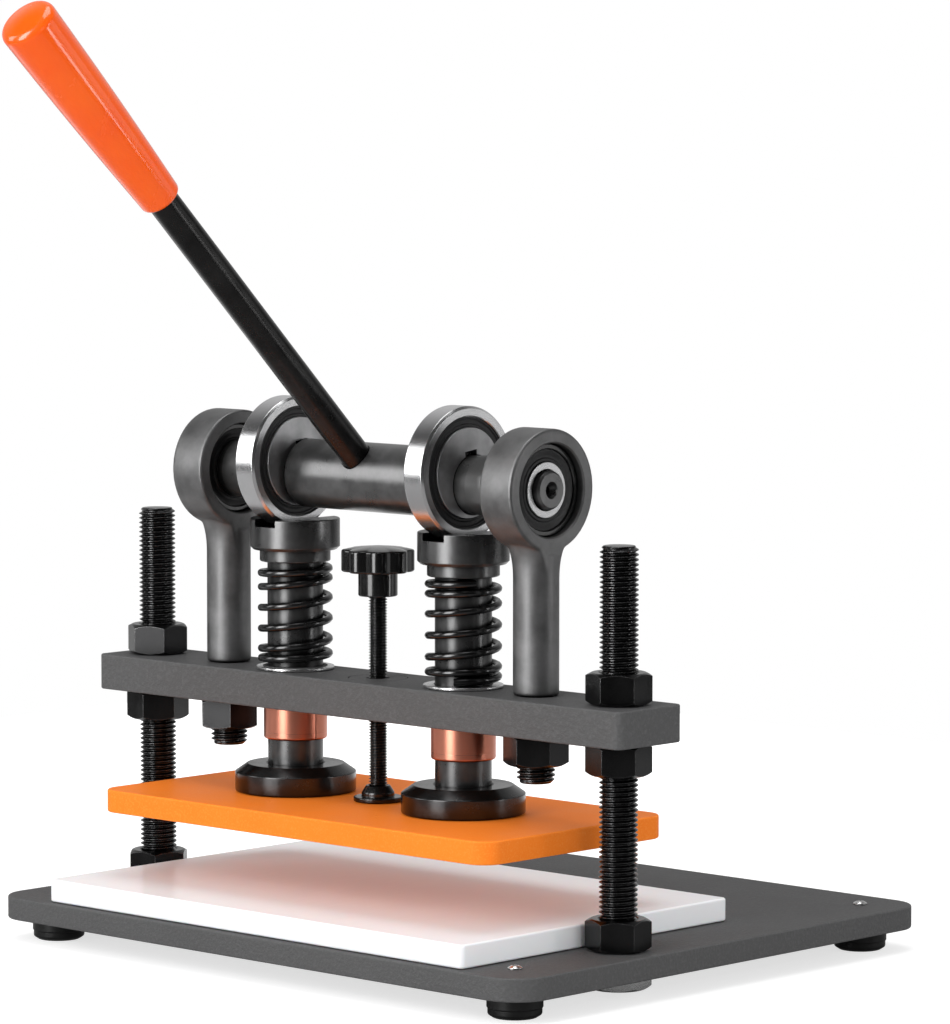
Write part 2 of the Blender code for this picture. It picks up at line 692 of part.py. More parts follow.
def camshaft_mesh():
    """The turned camshaft about its own axis, with the keys of its cams and the lever's hole."""
    stub_end = EYE_X - BEARING_WIDTH / 2 - FIT_GAP
    stub_start = PLUNGER_X + CAM_WIDTH / 2 + STUB_CAM_GAP
    tube_end = PLUNGER_X - CAM_WIDTH / 2 - TUBE_CAM_GAP
    shaft_end = EYE_X + EYE_THICKNESS / 2 - SHAFT_END_SETBACK
    half = [
        (0, shaft_end - SHAFT_CENTRE_DEPTH),
        (SHAFT_CENTRE_RADIUS, shaft_end - SHAFT_CENTRE_DEPTH),
        (SHAFT_CENTRE_RADIUS, shaft_end),
        (SHAFT_END_RADIUS - SHAFT_END_CHAMFER, shaft_end),
        (SHAFT_END_RADIUS, shaft_end - SHAFT_END_CHAMFER),
        (SHAFT_END_RADIUS, stub_end),
        (STUB_RADIUS, stub_end),
        (STUB_RADIUS, stub_start),
        (JOURNAL_RADIUS, stub_start),
        (JOURNAL_RADIUS, tube_end),
        (TUBE_RADIUS, tube_end),
    ]
    outline = half + [(radius, -along) for radius, along in reversed(half)]
    body = add_object("shaft_body", turned("camshaft", outline, MEDIUM_STEPS, "X"))
    key_top = JOURNAL_RADIUS + KEY_RISE
    key = box_mesh("cam_key", (KEY_LENGTH, KEY_WIDTH, key_top), (0, 0, key_top / 2))
    for side in SIDES.values():
        helper = add_object("key_helper", key, body, (side * PLUNGER_X, 0, 0), (KEY_LEAN, 0, 0))
        shape(body, "UNION", helper)
    hole = rod_mesh("lever_hole", LEVER_RADIUS + FIT_GAP, LEVER_FOOT - SEAT_GAP,
                    TUBE_RADIUS + OVERRUN, SMALL_STEPS)
    helper = add_object("hole_helper", hole, body, (-LEVER_OFFSET, 0, 0), (LEVER_LEAN, 0, 0))
    shape(body, "DIFFERENCE", helper)
    return baked(body)


def cam_mesh():
    """An eccentric disc about its own centre, bored and slotted for the shaft and its key."""
    half = CAM_WIDTH / 2
    body = add_object("cam_body", rod_mesh("cam", CAM_RADIUS, -half, half, ROUND_STEPS, "X"))
    axis = (0, -ROLLER_Y, -ROLLER_RISE)
    bore = rod_mesh("cam_bore", JOURNAL_RADIUS + FIT_GAP, -CAM_WIDTH, CAM_WIDTH, MEDIUM_STEPS, "X")
    shape(body, "DIFFERENCE", add_object("bore_helper", bore, body, axis))
    slot_top = JOURNAL_RADIUS + KEY_RISE + FIT_GAP
    slot = box_mesh(
        "cam_slot", (2 * CAM_WIDTH, KEY_WIDTH + 2 * FIT_GAP, slot_top), (0, 0, slot_top / 2)
    )
    shape(body, "DIFFERENCE", add_object("slot_helper", slot, body, axis, (KEY_LEAN, 0, 0)))
    return baked(body)


def build_camshaft(shaft, look):
    """Camshaft, cams and the bearing hubs on its ends, all about the shaft's axis."""
    place("camshaft", camshaft_mesh(), look["dark_steel"], shaft)
    cam = cam_mesh()
    half = BEARING_WIDTH / 2
    hub_bore = SHAFT_END_RADIUS + FIT_GAP
    hub = turned(
        "eye_bearing_hub", ring_outline(BEARING_HUB_RADIUS, hub_bore, -half, half), MEDIUM_STEPS, "X"
    )
    for name, side in SIDES.items():
        place(f"cam_{name}", cam, look["bearing_steel"], shaft,
              (side * PLUNGER_X, ROLLER_Y, ROLLER_RISE))
        place(f"eye_bearing_hub_{name}", hub, look["bearing_steel"], shaft, (side * EYE_X, 0, 0))


def build_rollers(shaft, look):
    """The large bearing on each cam: its outer ring with the seal inside, about the cam's centre."""
    half = ROLLER_WIDTH / 2
    inner = ROLLER_RADIUS - ROLLER_LIP
    ring = turned(
        "roller_ring", ring_outline(ROLLER_RADIUS, inner, -half, half, ROLLER_EDGE), LARGE_STEPS, "X"
    )
    seal_half = half - ROLLER_SEAL_RECESS
    seal = turned(
        "roller_seal",
        ring_outline(inner - FIT_GAP, CAM_RADIUS + FIT_GAP, -seal_half, seal_half), axis="X"
    )
    for name, side in SIDES.items():
        roller = add_object(f"roller_{name}", None, shaft, (side * PLUNGER_X, ROLLER_Y, ROLLER_RISE))
        place(f"roller_ring_{name}", ring, look["bearing_steel"], roller)
        place(f"roller_seal_{name}", seal, look["seal"], roller)


def grip_side():
    """The grip's outer side from its head to its neck, slightly bulged between two round ends."""
    top = GRIP_LENGTH - GRIP_DOME - GRIP_HEAD_ROUND
    side = []
    for step in range(1, GRIP_SIDE_STEPS):
        share = step / GRIP_SIDE_STEPS
        taper = GRIP_HEAD_RADIUS + (GRIP_NECK_RADIUS - GRIP_HEAD_RADIUS) * share
        bulge = GRIP_BULGE * math.sin(math.pi * share)
        side.append((taper + bulge, top + (GRIP_NECK_ROUND - top) * share))
    head = arc((GRIP_HEAD_RADIUS - GRIP_HEAD_ROUND, top), GRIP_HEAD_ROUND,
               math.pi / 2, 0, GRIP_ROUND_STEPS)
    neck = arc((GRIP_NECK_RADIUS - GRIP_NECK_ROUND, GRIP_NECK_ROUND), GRIP_NECK_ROUND,
               0, -math.pi / 2, GRIP_ROUND_STEPS)
    return head + side + neck


def build_lever(shaft, look):
    """The lever rod, let into the camshaft, with its moulded grip."""
    spot = (-LEVER_OFFSET, 0, 0)
    lean = (LEVER_LEAN, 0, 0)
    rod_top = GRIP_START + GRIP_SOCKET_DEPTH - SEAT_GAP
    rod = turned("lever_rod", [
        (0, rod_top),
        (LEVER_RADIUS - LEVER_CHAMFER, rod_top),
        (LEVER_RADIUS, rod_top - LEVER_CHAMFER),
        (LEVER_RADIUS, LEVER_FOOT),
        (0, LEVER_FOOT),
    ], SMALL_STEPS)
    place("lever_rod", rod, look["black_oxide"], shaft, spot, lean)
    socket = LEVER_RADIUS + FIT_GAP
    outline = [
        (0, GRIP_LENGTH),
        *grip_side(),
        (socket, 0),
        (socket, GRIP_SOCKET_DEPTH),
        (0, GRIP_SOCKET_DEPTH),
    ]
    grip = turned(
        "lever_grip", [(radius, GRIP_START + along) for radius, along in outline], MEDIUM_STEPS
    )
    place("lever_grip", grip, look["orange_plastic"], shaft, spot, lean)


def cap_mesh():
    """A follower cap: a turned disc with a collar and a blind bore, and a groove for the roller."""
    bore = PLUNGER_RADIUS + FIT_GAP
    body = add_object("cap_body", turned("follower_cap", [
        (0, CAP_TOP),
        (CAP_RADIUS - CAP_EDGE, CAP_TOP),
        (CAP_RADIUS, CAP_TOP - CAP_EDGE),
        (CAP_RADIUS, CAP_BOTTOM + CAP_CHAMFER),
        (CAP_RADIUS - CAP_CHAMFER, CAP_BOTTOM),
        (COLLAR_RADIUS, CAP_BOTTOM),
        (COLLAR_RADIUS, COLLAR_BOTTOM),
        (bore, COLLAR_BOTTOM),
        (bore, CAP_SOCKET_TOP),
        (0, CAP_SOCKET_TOP),
    ]))
    width = ROLLER_WIDTH + 2 * CAP_SIDE_GAP
    groove = box_mesh(
        "cap_groove", (width, 2 * CAP_RADIUS + OVERRUN, 2 * CAP_GROOVE_DEPTH),
        (0, 0, GROOVE_Z + CAP_GROOVE_DEPTH)
    )
    shape(body, "DIFFERENCE", groove)
    return baked(body)


def plate_screw_outline(grow, face):
    """The outline of a countersunk plate screw, or of its hole where it is grown by a gap."""
    radius = PLATE_SCREW_RADIUS + grow
    head = PLATE_SCREW_HEAD_RADIUS + grow
    rim_top = PLATE_BOTTOM + SEAT_GAP + PLATE_SCREW_RIM
    tip = PLUNGER_BOTTOM + PLATE_SCREW_GRIP
    return [
        (0, tip),
        (radius, tip),
        (radius, rim_top + head - radius),
        (head, rim_top),
        (head, face),
        (0, face),
    ]


def build_plungers(follower, look):
    """Caps and plungers, and the pressure pads that spread their load over the pressing plate."""
    cap = cap_mesh()
    screw_hole = PLATE_SCREW_RADIUS + FIT_GAP
    tapped_end = PLUNGER_BOTTOM + PLATE_SCREW_GRIP + FIT_GAP
    plunger = turned("plunger", [
        (0, PLUNGER_TOP),
        (PLUNGER_RADIUS - PLUNGER_CHAMFER, PLUNGER_TOP),
        (PLUNGER_RADIUS, PLUNGER_TOP - PLUNGER_CHAMFER),
        (PLUNGER_RADIUS, PLUNGER_BOTTOM),
        (screw_hole, PLUNGER_BOTTOM),
        (screw_hole, tapped_end),
        (0, tapped_end),
    ])
    socket = PLUNGER_RADIUS + FIT_GAP
    pad = turned("pressure_pad", [
        (socket, PAD_TOP),
        (PAD_RADIUS - PAD_CHAMFER_WIDTH, PAD_TOP),
        (PAD_RADIUS, PAD_TOP - PAD_CHAMFER_HEIGHT),
        (PAD_RADIUS, PAD_BOTTOM + PAD_EDGE),
        (PAD_RADIUS - PAD_EDGE, PAD_BOTTOM),
        (screw_hole, PAD_BOTTOM),
        (screw_hole, PAD_SOCKET_FLOOR),
        (socket, PAD_SOCKET_FLOOR),
    ])
    for name, side in SIDES.items():
        spot = (side * PLUNGER_X, 0, 0)
        place(f"follower_cap_{name}", cap, look["dark_steel"], follower, spot)
        place(f"plunger_{name}", plunger, look["dark_steel"], follower, spot)
        place(f"pressure_pad_{name}", pad, look["black_oxide"], follower, spot)


def build_plate(follower, look):
    """The pressing plate, with the countersunk screws that hold it up to the plungers."""
    half_width = PLATE_WIDTH / 2
    half_depth = PLATE_DEPTH / 2
    outline = rounded_rectangle(-half_width, half_width, -half_depth, half_depth, PLATE_CORNER)
    mesh = slab_mesh("pressing_plate", outline, PLATE_BOTTOM, PLATE_TOP, PLATE_EDGE)
    plate = place("pressing_plate", mesh, look["orange_paint"], follower)
    pin_holes = [(side * PIN_HOLE_X, -PIN_HOLE_Y, PIN_HOLE_RADIUS) for side in SIDES.values()]
    drill(plate, pin_holes, PLATE_TOP - PIN_HOLE_DEPTH, PLATE_TOP + OVERRUN, TINY_STEPS)
    hole = turned(
        "plate_screw_hole", plate_screw_outline(FIT_GAP, PLATE_BOTTOM - OVERRUN), SMALL_STEPS
    )
    screw = turned("plate_screw", plate_screw_outline(0, PLATE_BOTTOM + SEAT_GAP), SMALL_STEPS)
    for name, side in SIDES.items():
        spot = (side * PLUNGER_X, 0, 0)
        shape(plate, "DIFFERENCE", add_object(f"plate_screw_hole_{name}", hole, plate, spot))
        place(f"plate_screw_{name}", screw, look["zinc"], follower, spot)


def spring_climb(turns, open_pitch):
    """Height of the wire after some turns from a closed end, as far as the middle of the spring."""
    closed = min(turns, SPRING_CLOSED_TURNS)
    blended = min(max(turns - SPRING_CLOSED_TURNS, 0), SPRING_BLEND_TURNS)
    opened = max(turns - SPRING_CLOSED_TURNS - SPRING_BLEND_TURNS, 0)
    gain = (open_pitch - SPRING_CLOSED_PITCH) * blended ** 2 / (2 * SPRING_BLEND_TURNS)
    return SPRING_CLOSED_PITCH * (closed + blended) + gain + open_pitch * opened


def spring_points(start):
    """Centre line of a right-hand compression spring with closed ends, from washer to collar."""
    bottom = WASHER_TOP + SEAT_GAP + SPRING_WIRE_RADIUS
    height = COLLAR_BOTTOM - SEAT_GAP - SPRING_WIRE_RADIUS - bottom
    half_turns = SPRING_TURNS / 2
    shallow = spring_climb(half_turns, 0)
    open_pitch = (height / 2 - shallow) / (spring_climb(half_turns, 1) - shallow)
    count = round(SPRING_TURNS * SPRING_POINTS_PER_TURN)
    points = []
    for index in range(count + 1):
        turns = SPRING_TURNS * index / count
        if turns <= half_turns:
            level = bottom + spring_climb(turns, open_pitch)
        else:
            level = bottom + height - spring_climb(SPRING_TURNS - turns, open_pitch)
        turn = start + FULL_TURN * turns
        points.append(Vector((SPRING_RADIUS * math.cos(turn), SPRING_RADIUS * math.sin(turn), level)))
    return points


def least_gap(points):
    """The least clearance between the wire's surfaces on points half a turn or more apart."""
    apart = SPRING_POINTS_PER_TURN // 2
    distances = [
        (points[later] - points[index]).length
        for index in range(len(points))
        for later in range(index + apart, len(points))
    ]
    return min(distances) - 2 * SPRING_WIRE_RADIUS


def build_springs(follower, look):
    """The return springs, each one unbroken wire round its plunger."""
    for name, side in SIDES.items():
        points = spring_points(SPRING_START[name])
        wire = bpy.data.curves.new(f"spring_{name}", "CURVE")
        wire.dimensions = "3D"
        wire.bevel_depth = SPRING_WIRE_RADIUS
        wire.bevel_resolution = 1
        wire.use_fill_caps = True
        spline = wire.splines.new("POLY")
        spline.points.add(len(points) - 1)
        for target, point in zip(spline.points, points):
            target.co = (*point, 1)
        wire.materials.append(look["black_oxide"])
        add_object(f"spring_{name}", wire, follower, (side * PLUNGER_X, 0, 0))
        print(f"spring_{name}: least gap between coils {least_gap(points) * MILLIMETRES:.2f} mm")


def knob_mesh():
    """The star knob: a round hub under a lobed rim with a low crown."""
    count = KNOB_LOBES * KNOB_STEPS_PER_LOBE
    turns = [FULL_TURN * index / count for index in range(count)]
    rim_bottom = KNOB_BOTTOM + KNOB_HUB_HEIGHT
    rim_top = rim_bottom + KNOB_RIM_HEIGHT

    def ring(radii, level):
        return [(radius * math.cos(turn), radius * math.sin(turn), level)
                for radius, turn in zip(radii, turns)]

    lobes = [((1 + math.cos(KNOB_LOBES * turn)) / 2) ** KNOB_LOBE_FULLNESS for turn in turns]
    rim = [KNOB_WAIST_RADIUS + (KNOB_RADIUS - KNOB_WAIST_RADIUS) * lobe for lobe in lobes]
    edge = [radius - KNOB_ROUND for radius in rim]
    rings = [
        ring([KNOB_HUB_RADIUS] * count, KNOB_BOTTOM),
        ring([KNOB_HUB_RADIUS] * count, rim_bottom),
        ring(edge, rim_bottom),
        ring(rim, rim_bottom + KNOB_ROUND),
        ring(rim, rim_top - KNOB_ROUND),
        ring(edge, rim_top),
    ]
    for reach_share, rise_share in KNOB_CROWN_SHARES:
        level = rim_top + KNOB_CROWN * rise_share
        rings.append(ring([radius * reach_share for radius in edge], level))
    body = add_object("knob_body", lofted("star_knob", rings))
    socket = rod_mesh("knob_socket", SCREW_RADIUS + FIT_GAP, KNOB_BOTTOM - OVERRUN,
                      KNOB_BOTTOM + KNOB_SOCKET_DEPTH, SMALL_STEPS)
    shape(body, "DIFFERENCE", socket)
    return baked(body)


def build_screw(head, look):
    """The adjusting screw with its star knob, and the swivel foot that it stands on."""
    screw = add_object("screw", None, head)
    socket = SCREW_RADIUS + FIT_GAP
    neck_top = SWIVEL_BOTTOM + SWIVEL_HEIGHT
    flange_top = SWIVEL_BOTTOM + SWIVEL_RIM
    socket_floor = neck_top - SWIVEL_SOCKET_DEPTH
    dome = []
    for step in range(SWIVEL_DOME_STEPS, -1, -1):
        share = step / SWIVEL_DOME_STEPS
        radius = SWIVEL_DOME_RADIUS - (SWIVEL_DOME_RADIUS - SWIVEL_NECK_RADIUS) * share ** 2
        dome.append((radius, flange_top + (neck_top - flange_top) * share))
    foot = turned("swivel_foot", [
        (0, socket_floor),
        (socket, socket_floor),
        (socket, neck_top),
        *dome,
        (SWIVEL_RADIUS, flange_top),
        (SWIVEL_RADIUS, SWIVEL_BOTTOM),
        (0, SWIVEL_BOTTOM),
    ], MEDIUM_STEPS)
    place("swivel_foot", foot, look["black_oxide"], screw)
    bottom = socket_floor + SEAT_GAP
    top = KNOB_BOTTOM + KNOB_SOCKET_DEPTH - SEAT_GAP
    narrow = SCREW_RADIUS - SCREW_CHAMFER
    stem = turned("adjusting_screw", [
        (0, top),
        (narrow, top),
        (SCREW_RADIUS, top - SCREW_CHAMFER),
        (SCREW_RADIUS, bottom + SCREW_CHAMFER),
        (narrow, bottom),
        (0, bottom),
    ], SMALL_STEPS)
    place("adjusting_screw", stem, look["black_oxide"], screw)
    place("star_knob", knob_mesh(), look["black_plastic"], screw)


def centre_press(press):
    """Moves the press along Y so that the origin lies under the middle of its outline."""
    bpy.context.view_layer.update()
    graph = bpy.context.evaluated_depsgraph_get()
    reach = []
    for obj in press.children_recursive:
        if obj.data is None or obj.hide_render:
            continue
        evaluated = obj.evaluated_get(graph)
        mesh = evaluated.to_mesh()
        reach += [(evaluated.matrix_world @ vertex.co).y for vertex in mesh.vertices]
        evaluated.to_mesh_clear()
    press.location.y = -(min(reach) + max(reach)) / 2
    print(f"press moved along Y by {press.location.y * MILLIMETRES:.3f} mm")


def main():
    clear_scene()
    look = make_finishes()
    press = add_object("press", None)
    head = add_object("head", None, press)
    shaft = add_object("shaft", None, head, (0, 0, SHAFT_Z))
    follower = add_object("follower", None, head)
    build_base(press, look)
    build_rods(press, look)
    build_board(press, look)
    build_crossbar(head, look)
    build_eyes(head, look)
    build_guides(head, look)
    build_camshaft(shaft, look)
    build_rollers(shaft, look)
    build_lever(shaft, look)
    build_plungers(follower, look)
    build_plate(follower, look)
    build_springs(follower, look)
    build_screw(head, look)
    centre_press(press)


main()
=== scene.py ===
"""Looks of the leather die cutting press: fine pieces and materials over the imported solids."""

import math

import bmesh
import bpy
from mathutils import Matrix, Vector


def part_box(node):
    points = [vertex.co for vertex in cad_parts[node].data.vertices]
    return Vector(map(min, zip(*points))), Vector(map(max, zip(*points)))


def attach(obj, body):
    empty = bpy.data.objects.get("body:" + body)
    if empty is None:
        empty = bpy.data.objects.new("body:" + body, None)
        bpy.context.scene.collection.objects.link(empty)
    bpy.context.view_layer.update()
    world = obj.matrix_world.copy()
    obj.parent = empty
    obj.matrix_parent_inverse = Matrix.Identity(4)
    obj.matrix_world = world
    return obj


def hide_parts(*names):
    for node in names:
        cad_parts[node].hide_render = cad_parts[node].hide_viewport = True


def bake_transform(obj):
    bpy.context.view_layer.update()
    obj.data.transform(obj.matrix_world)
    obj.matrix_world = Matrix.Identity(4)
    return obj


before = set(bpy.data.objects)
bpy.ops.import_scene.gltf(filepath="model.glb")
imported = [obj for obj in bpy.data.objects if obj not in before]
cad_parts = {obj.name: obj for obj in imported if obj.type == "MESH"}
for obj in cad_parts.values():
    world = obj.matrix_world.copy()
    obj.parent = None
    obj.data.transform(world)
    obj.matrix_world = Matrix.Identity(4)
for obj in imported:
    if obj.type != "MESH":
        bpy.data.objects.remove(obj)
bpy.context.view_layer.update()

# Shared values
SIDES = {"left": -1, "right": 1}
FULL_TURN = 2 * math.pi
QUARTER_TURN = math.pi / 2
WELD_DISTANCE = 0.000004
SHARP_ANGLE = math.radians(38)
FINE_STEPS = 96
MEDIUM_STEPS = 64
SMALL_STEPS = 40
TINY_STEPS = 24
FILLET_STEPS = 4
CORNER_STEPS = 14
BEVEL_STEPS = 3
OVERRUN = 0.002
FIT_GAP = 0.0003

# Rounds, chamfers and small steps, from crisp to broad
CRISP = 0.0002
FINE = 0.0003
SLIM = 0.0004
SMALL = 0.0005
EASY = 0.0006
SOFT = 0.0008
PLAIN = 0.0010
BROAD = 0.0012

# Camera
CAMERA_PLACE = (1.78304, -1.808895, 0.44548)
CAMERA_TURN = (math.radians(85.24), math.radians(-0.03), math.radians(43.24))
CAMERA_LENS = 173.555
CAMERA_REACH = 100

# Floor and world. Mirrors see a dark side and a bright one, and the camera sees white
FLOOR_SIZE = 1.8
FLOOR_LEVEL = -0.0002
FLOOR_ROUGHNESS = 0.9
FLOOR_WHITE = (0.50, 0.50, 0.50)
FLOOR_MIRRORED = (0.22, 0.22, 0.22)
FLOOR_REACH = (0.35, 0.85)
FLOOR_LIFT = (0.68, 1.0)
FLOOR_SPREAD = (0.0, 0.5)
BACKDROP_SIDE = (-0.70, 0.71, 0)
BACKDROP_SPREAD = (0.25, 0.85)
DARK_SIDE_LEVEL = 0.02
BRIGHT_SIDE_LEVEL = 0.5
WORLD_LEVEL = 0.55

# Lamps, each with its place, width, height and power. Fill lamps don't show in mirrors
AIM = (0, 0, 0.2)
AREA_LIGHTS = {
    "key": ((-0.16, -2.60, 0.85), 1.25, 2.3, 66),
    "left": ((-2.0, -1.95, 0.95), 0.9, 1.7, 17),
    "strip": ((2.5, 1.35, 0.35), 0.30, 1.5, 7.5),
    "right": ((1.75, 2.1, 0.45), 0.9, 1.7, 3),
    "top": ((0.0, 0.1, 2.6), 1.6, 1.6, 23),
}
FILL_LIGHTS = {
    "key_fill": ((-0.28, -2.60, 0.85), 1.05, 2.3, 36),
    "front_fill": ((0.2, -2.3, 0.22), 1.4, 0.5, 4),
    "high_fill": ((0.3, -1.7, 1.9), 1.2, 1.2, 10),
    "right_fill": ((2.5, -0.7, 0.6), 1.2, 1.2, 16),
}

# Paints: colour, worn colour, roughness, scale and depth of the grain, shine
PAINTS = {
    "black_paint": ((0.092, 0.092, 0.093), (0.165, 0.165, 0.167), 0.55, 560, 0.0012, 0.12),
    "orange_paint": ((1.0, 0.236, 0.024), (1.0, 0.45, 0.11), 0.45, 1100, 0.00012, 0.04),
}

# Dark steels: colour, worn colour (lighter edges that are wear and also painted glints), roughness,
# metallic share, share of wear and painted glint, bare span along X
OXIDES = {
    "black_oxide": ((0.022, 0.022, 0.0224), (0.24, 0.24, 0.242), 0.20, 0.95, 0.8),
    "forged_steel": ((0.165, 0.165, 0.166), (0.36, 0.36, 0.362), 0.49, 0.92, 0.5),
    "dark_steel": ((0.098, 0.098, 0.0985), (0.24, 0.24, 0.242), 0.29, 0.96, 0.45),
    "shaft_steel": ((0.155, 0.155, 0.1555), (0.26, 0.26, 0.262), 0.31, 0.94, 0.45, (0.061, 0.100)),
    "gloss_black": ((0.056, 0.056, 0.0565), (0.15, 0.15, 0.151), 0.20, 0.98, 0.35),
    "lever_black": ((0.030, 0.0295, 0.0295), (0.10, 0.10, 0.101), 0.25, 0.94, 0.3),
}

# Turned metals: colour, roughness, scale of the rings, axis, strength of the rings, smudge
TURNED_METALS = {
    "bearing_steel": ((0.80, 0.80, 0.81), 0.24, 5200, "X", 0.1, 0.12),
    "oiled_steel": ((0.13, 0.13, 0.13), 0.24, 2400, "X", 0.25, 0.12),
    "ground_steel": ((0.58, 0.58, 0.59), 0.38, 5200, "X", 0.9, 0.5),
    "zinc": ((0.78, 0.78, 0.78), 0.26, 1500, "Z", 0.2, 0.12),
    "copper": ((0.72, 0.28, 0.19), 0.31, 1800, "Z", 0.15, 0.12),
}

# Moulded plastics: colour, deeper colour, roughness, weight of the coat, light under the skin
PLASTICS = {
    "black_plastic": ((0.0022, 0.0022, 0.0024), (0.0018, 0.0018, 0.0020), 0.16, 0.6, 0.0),
    "orange_plastic": ((1.0, 0.125, 0.0018), (0.98, 0.100, 0.0014), 0.19, 0.6, 0.05),
}

# Rubbers: colour, roughness
RUBBERS = {
    "rubber": ((0.004, 0.004, 0.004), 0.36),
    "seal": ((0.008, 0.008, 0.0085), 0.38),
}

# Finishes, and painted shade for the hollows of dark steels
# The first colour is painted shade: ambient occlusion lays it into hollows, creases and under neighbouring
# parts in place of real shade
PAINTED_HOLLOW_SHADE = (0.0015, 0.0015, 0.0015)
PAINTED_SHADE_REACH = 0.012
EASED_EDGE = 0.0004
PAINT_WEAR_REACH = 0.0009
# The lighter edges of dark steels are partly real wear and partly painted glints on thread crests and nut
# edges
STEEL_WEAR_AND_GLINT_REACH = 0.0008
EDGE_SAMPLES = 4
PAINTED_SHADE_SAMPLES = 6
STEEL_DULL = (0.22, 0.22, 0.22)
STEEL_BRIGHT = (0.46, 0.46, 0.46)
BOARD_DULL = (0.86, 0.87, 0.89)
BOARD_BRIGHT = (0.90, 0.91, 0.93)

# Threads
ROD_PITCH = 0.0025
SCREW_PITCH = 0.0015
THREAD_DEPTH_SHARE = 0.61
CREST_SHARE = 0.16
ROOT_SHARE = 0.20
ROD_RADIUS = 0.00975
ROD_CHAMFER = 0.0018
SCREW_RADIUS = 0.0048

# Nuts, with the angle in degrees of one corner of each
NUT_SIDES = 6
NUT_ACROSS = 0.0290
NUT_FACE_SHARE = 0.95
NUT_CHAMFER_ANGLE = math.radians(30)
NUT_STEPS = 8
NUT_EDGE = 0.0003
NUT_SINK = 3 * NUT_EDGE
NUT_RIM = NUT_EDGE / 3
NUT_TURNS = {
    "base_nut_left": 10, "base_nut_right": 40, "under_nut_left": 10, "under_nut_right": 40,
    "lower_nut_left": 48, "lower_nut_right": 41, "upper_nut_left": 29, "upper_nut_right": 38,
    "eye_nut_left": 18, "eye_nut_right": 37,
}

# Plates
BASE_CORNER = 0.0200
BASE_EDGE = 0.0010
BASE_ROD_HOLE = 0.01035
BASE_HOLE_REACH = 0.05
BAR_CORNER = 0.0042
BAR_EDGE = 0.0009
PLATE_CORNER = 0.0120
PLATE_EDGE = 0.0010
BOARD_CORNER = 0.0030
BOARD_EDGE = 0.0012

# Feet and their screws
FOOT_STEP_SHARES = (0.45, 0.42)
FOOT_TOE_RISE = 0.0016
FOOT_TOE_ROUND = 0.0014
FOOT_TOE_INSET = 0.0030
FOOT_SCREW_CROWN_SHARE = 0.55
FOOT_SCREW_RIM_SHARE = 0.42
FOOT_SCREW_SHANK_SHARE = 0.5
FOOT_SCREW_DEPTH = 0.004
FOOT_SCREW_SLOT_DEPTH = 0.0014
FOOT_SCREW_TURN = 0.7
FOOT_SCREW_TURN_STEP = 0.9

# Eye bolts and their bearings
EYE_RADIUS = 0.0310
EYE_THICKNESS = 0.0220
EYE_EDGE = 0.0013
POST_RADIUS = 0.01175
NECK_RADIUS = 0.0185
NECK_DROP = 0.0245
NECK_LENGTH = 0.0200
STUD_RADIUS = 0.00975
STUD_CHAMFER = 0.0020
BEARING_RADIUS = 0.0235
BEARING_WIDTH = 0.0140
BEARING_LIP = 0.0028
HUB_RADIUS = 0.01425
SEAL_RECESS = 0.0010
HUB_SEAL_RIM = 0.0016
RING_SEAL_RIM = 0.0012
FORGE_VOXEL = 0.0007
FORGE_PASSES = 6
FORGE_EASE = 0.5

# Camshaft, cams and rollers
JOURNAL_RADIUS = 0.0150
TUBE_RADIUS = 0.0180
STUB_RADIUS = 0.0155
TUBE_CAM_GAP = 0.0020
STUB_CAM_GAP = 0.0075
SHAFT_END_RADIUS = 0.00985
SHAFT_END_CHAMFER = 0.0011
SHAFT_CENTRE_RADIUS = 0.0039
SHAFT_CENTRE_DEPTH = 0.0080
SHAFT_CENTRE_TIP = 0.0015
SHAFT_CENTRE_CONE = (0.0035, 0.0016)
SHAFT_DRILL_SHARE = 0.55
CAM_RADIUS = 0.0233
CAM_WIDTH = 0.0150
KEY_WIDTH = 0.0080
KEY_RISE = 0.0024
KEY_LENGTH = 0.0070
KEY_LEAN = math.radians(8)
ROLLER_RADIUS = 0.0340
ROLLER_WIDTH = 0.0140
ROLLER_LIP = 0.0053
ROLLER_EDGE = 0.0012
CAM_SEAL_RIM = 0.0014
ROLLER_SEAL_RIM = 0.0010

# Lever
LEVER_OFFSET = 0.0040
LEVER_LEAN = math.radians(45.5)
LEVER_RADIUS = 0.0080
GRIP_START = 0.2085
GRIP_LENGTH = 0.1267
GRIP_NECK_RADIUS = 0.01065
GRIP_HEAD_RADIUS = 0.0147
GRIP_NECK_ROUND = 0.0020
GRIP_HEAD_ROUND = 0.0045
GRIP_DOME = 0.0016
GRIP_BULGE = 0.0005
GRIP_SOCKET_DEPTH = 0.0900
GRIP_CROWN_STEPS = 4
GRIP_HEAD_STEPS = 8
GRIP_NECK_STEPS = 6

# Pressing set
PLUNGER_RADIUS = 0.01465
CAP_RADIUS = 0.02365
CAP_CHAMFER = 0.0016
CAP_GROOVE_DEPTH = 0.0039
CAP_GROOVE_PLAY = 0.0010
CAP_SOCKET_DEPTH = 0.0100
COLLAR_RADIUS = 0.01865
COLLAR_HEIGHT = 0.0063
PAD_RADIUS = 0.0320
PAD_CHAMFER_WIDTH = 0.0063
PAD_CHAMFER_HEIGHT = 0.0044
PAD_ROUND = 0.0007
PAD_LEAD = 0.0011
PAD_STEP = 0.004
BUSH_RADIUS = 0.01675
BUSH_FOOT_ROUND = 0.0013
BUSH_SEAM = 0.0006
BUSH_SEAM_TURN = {"left": math.radians(-5), "right": math.radians(150)}
PIN_HOLE_RADIUS = 0.0010
PIN_HOLE_DEPTH = 0.004
PIN_HOLE_X = 0.0390
PIN_HOLE_Y = 0.0410
PLATE_SCREW_RADIUS = 0.0040
PLATE_SCREW_LENGTH = 0.0060
PLATE_SCREW_HEAD_RADIUS = 0.0078
PLATE_SCREW_HEAD_DEPTH = 0.0043
PLATE_SINK_DEPTH = 0.0075
PLATE_SINK_RADIUS = 0.0044
HEXAGON_RADIUS = 0.0029
HEXAGON_DEPTH = 0.0030

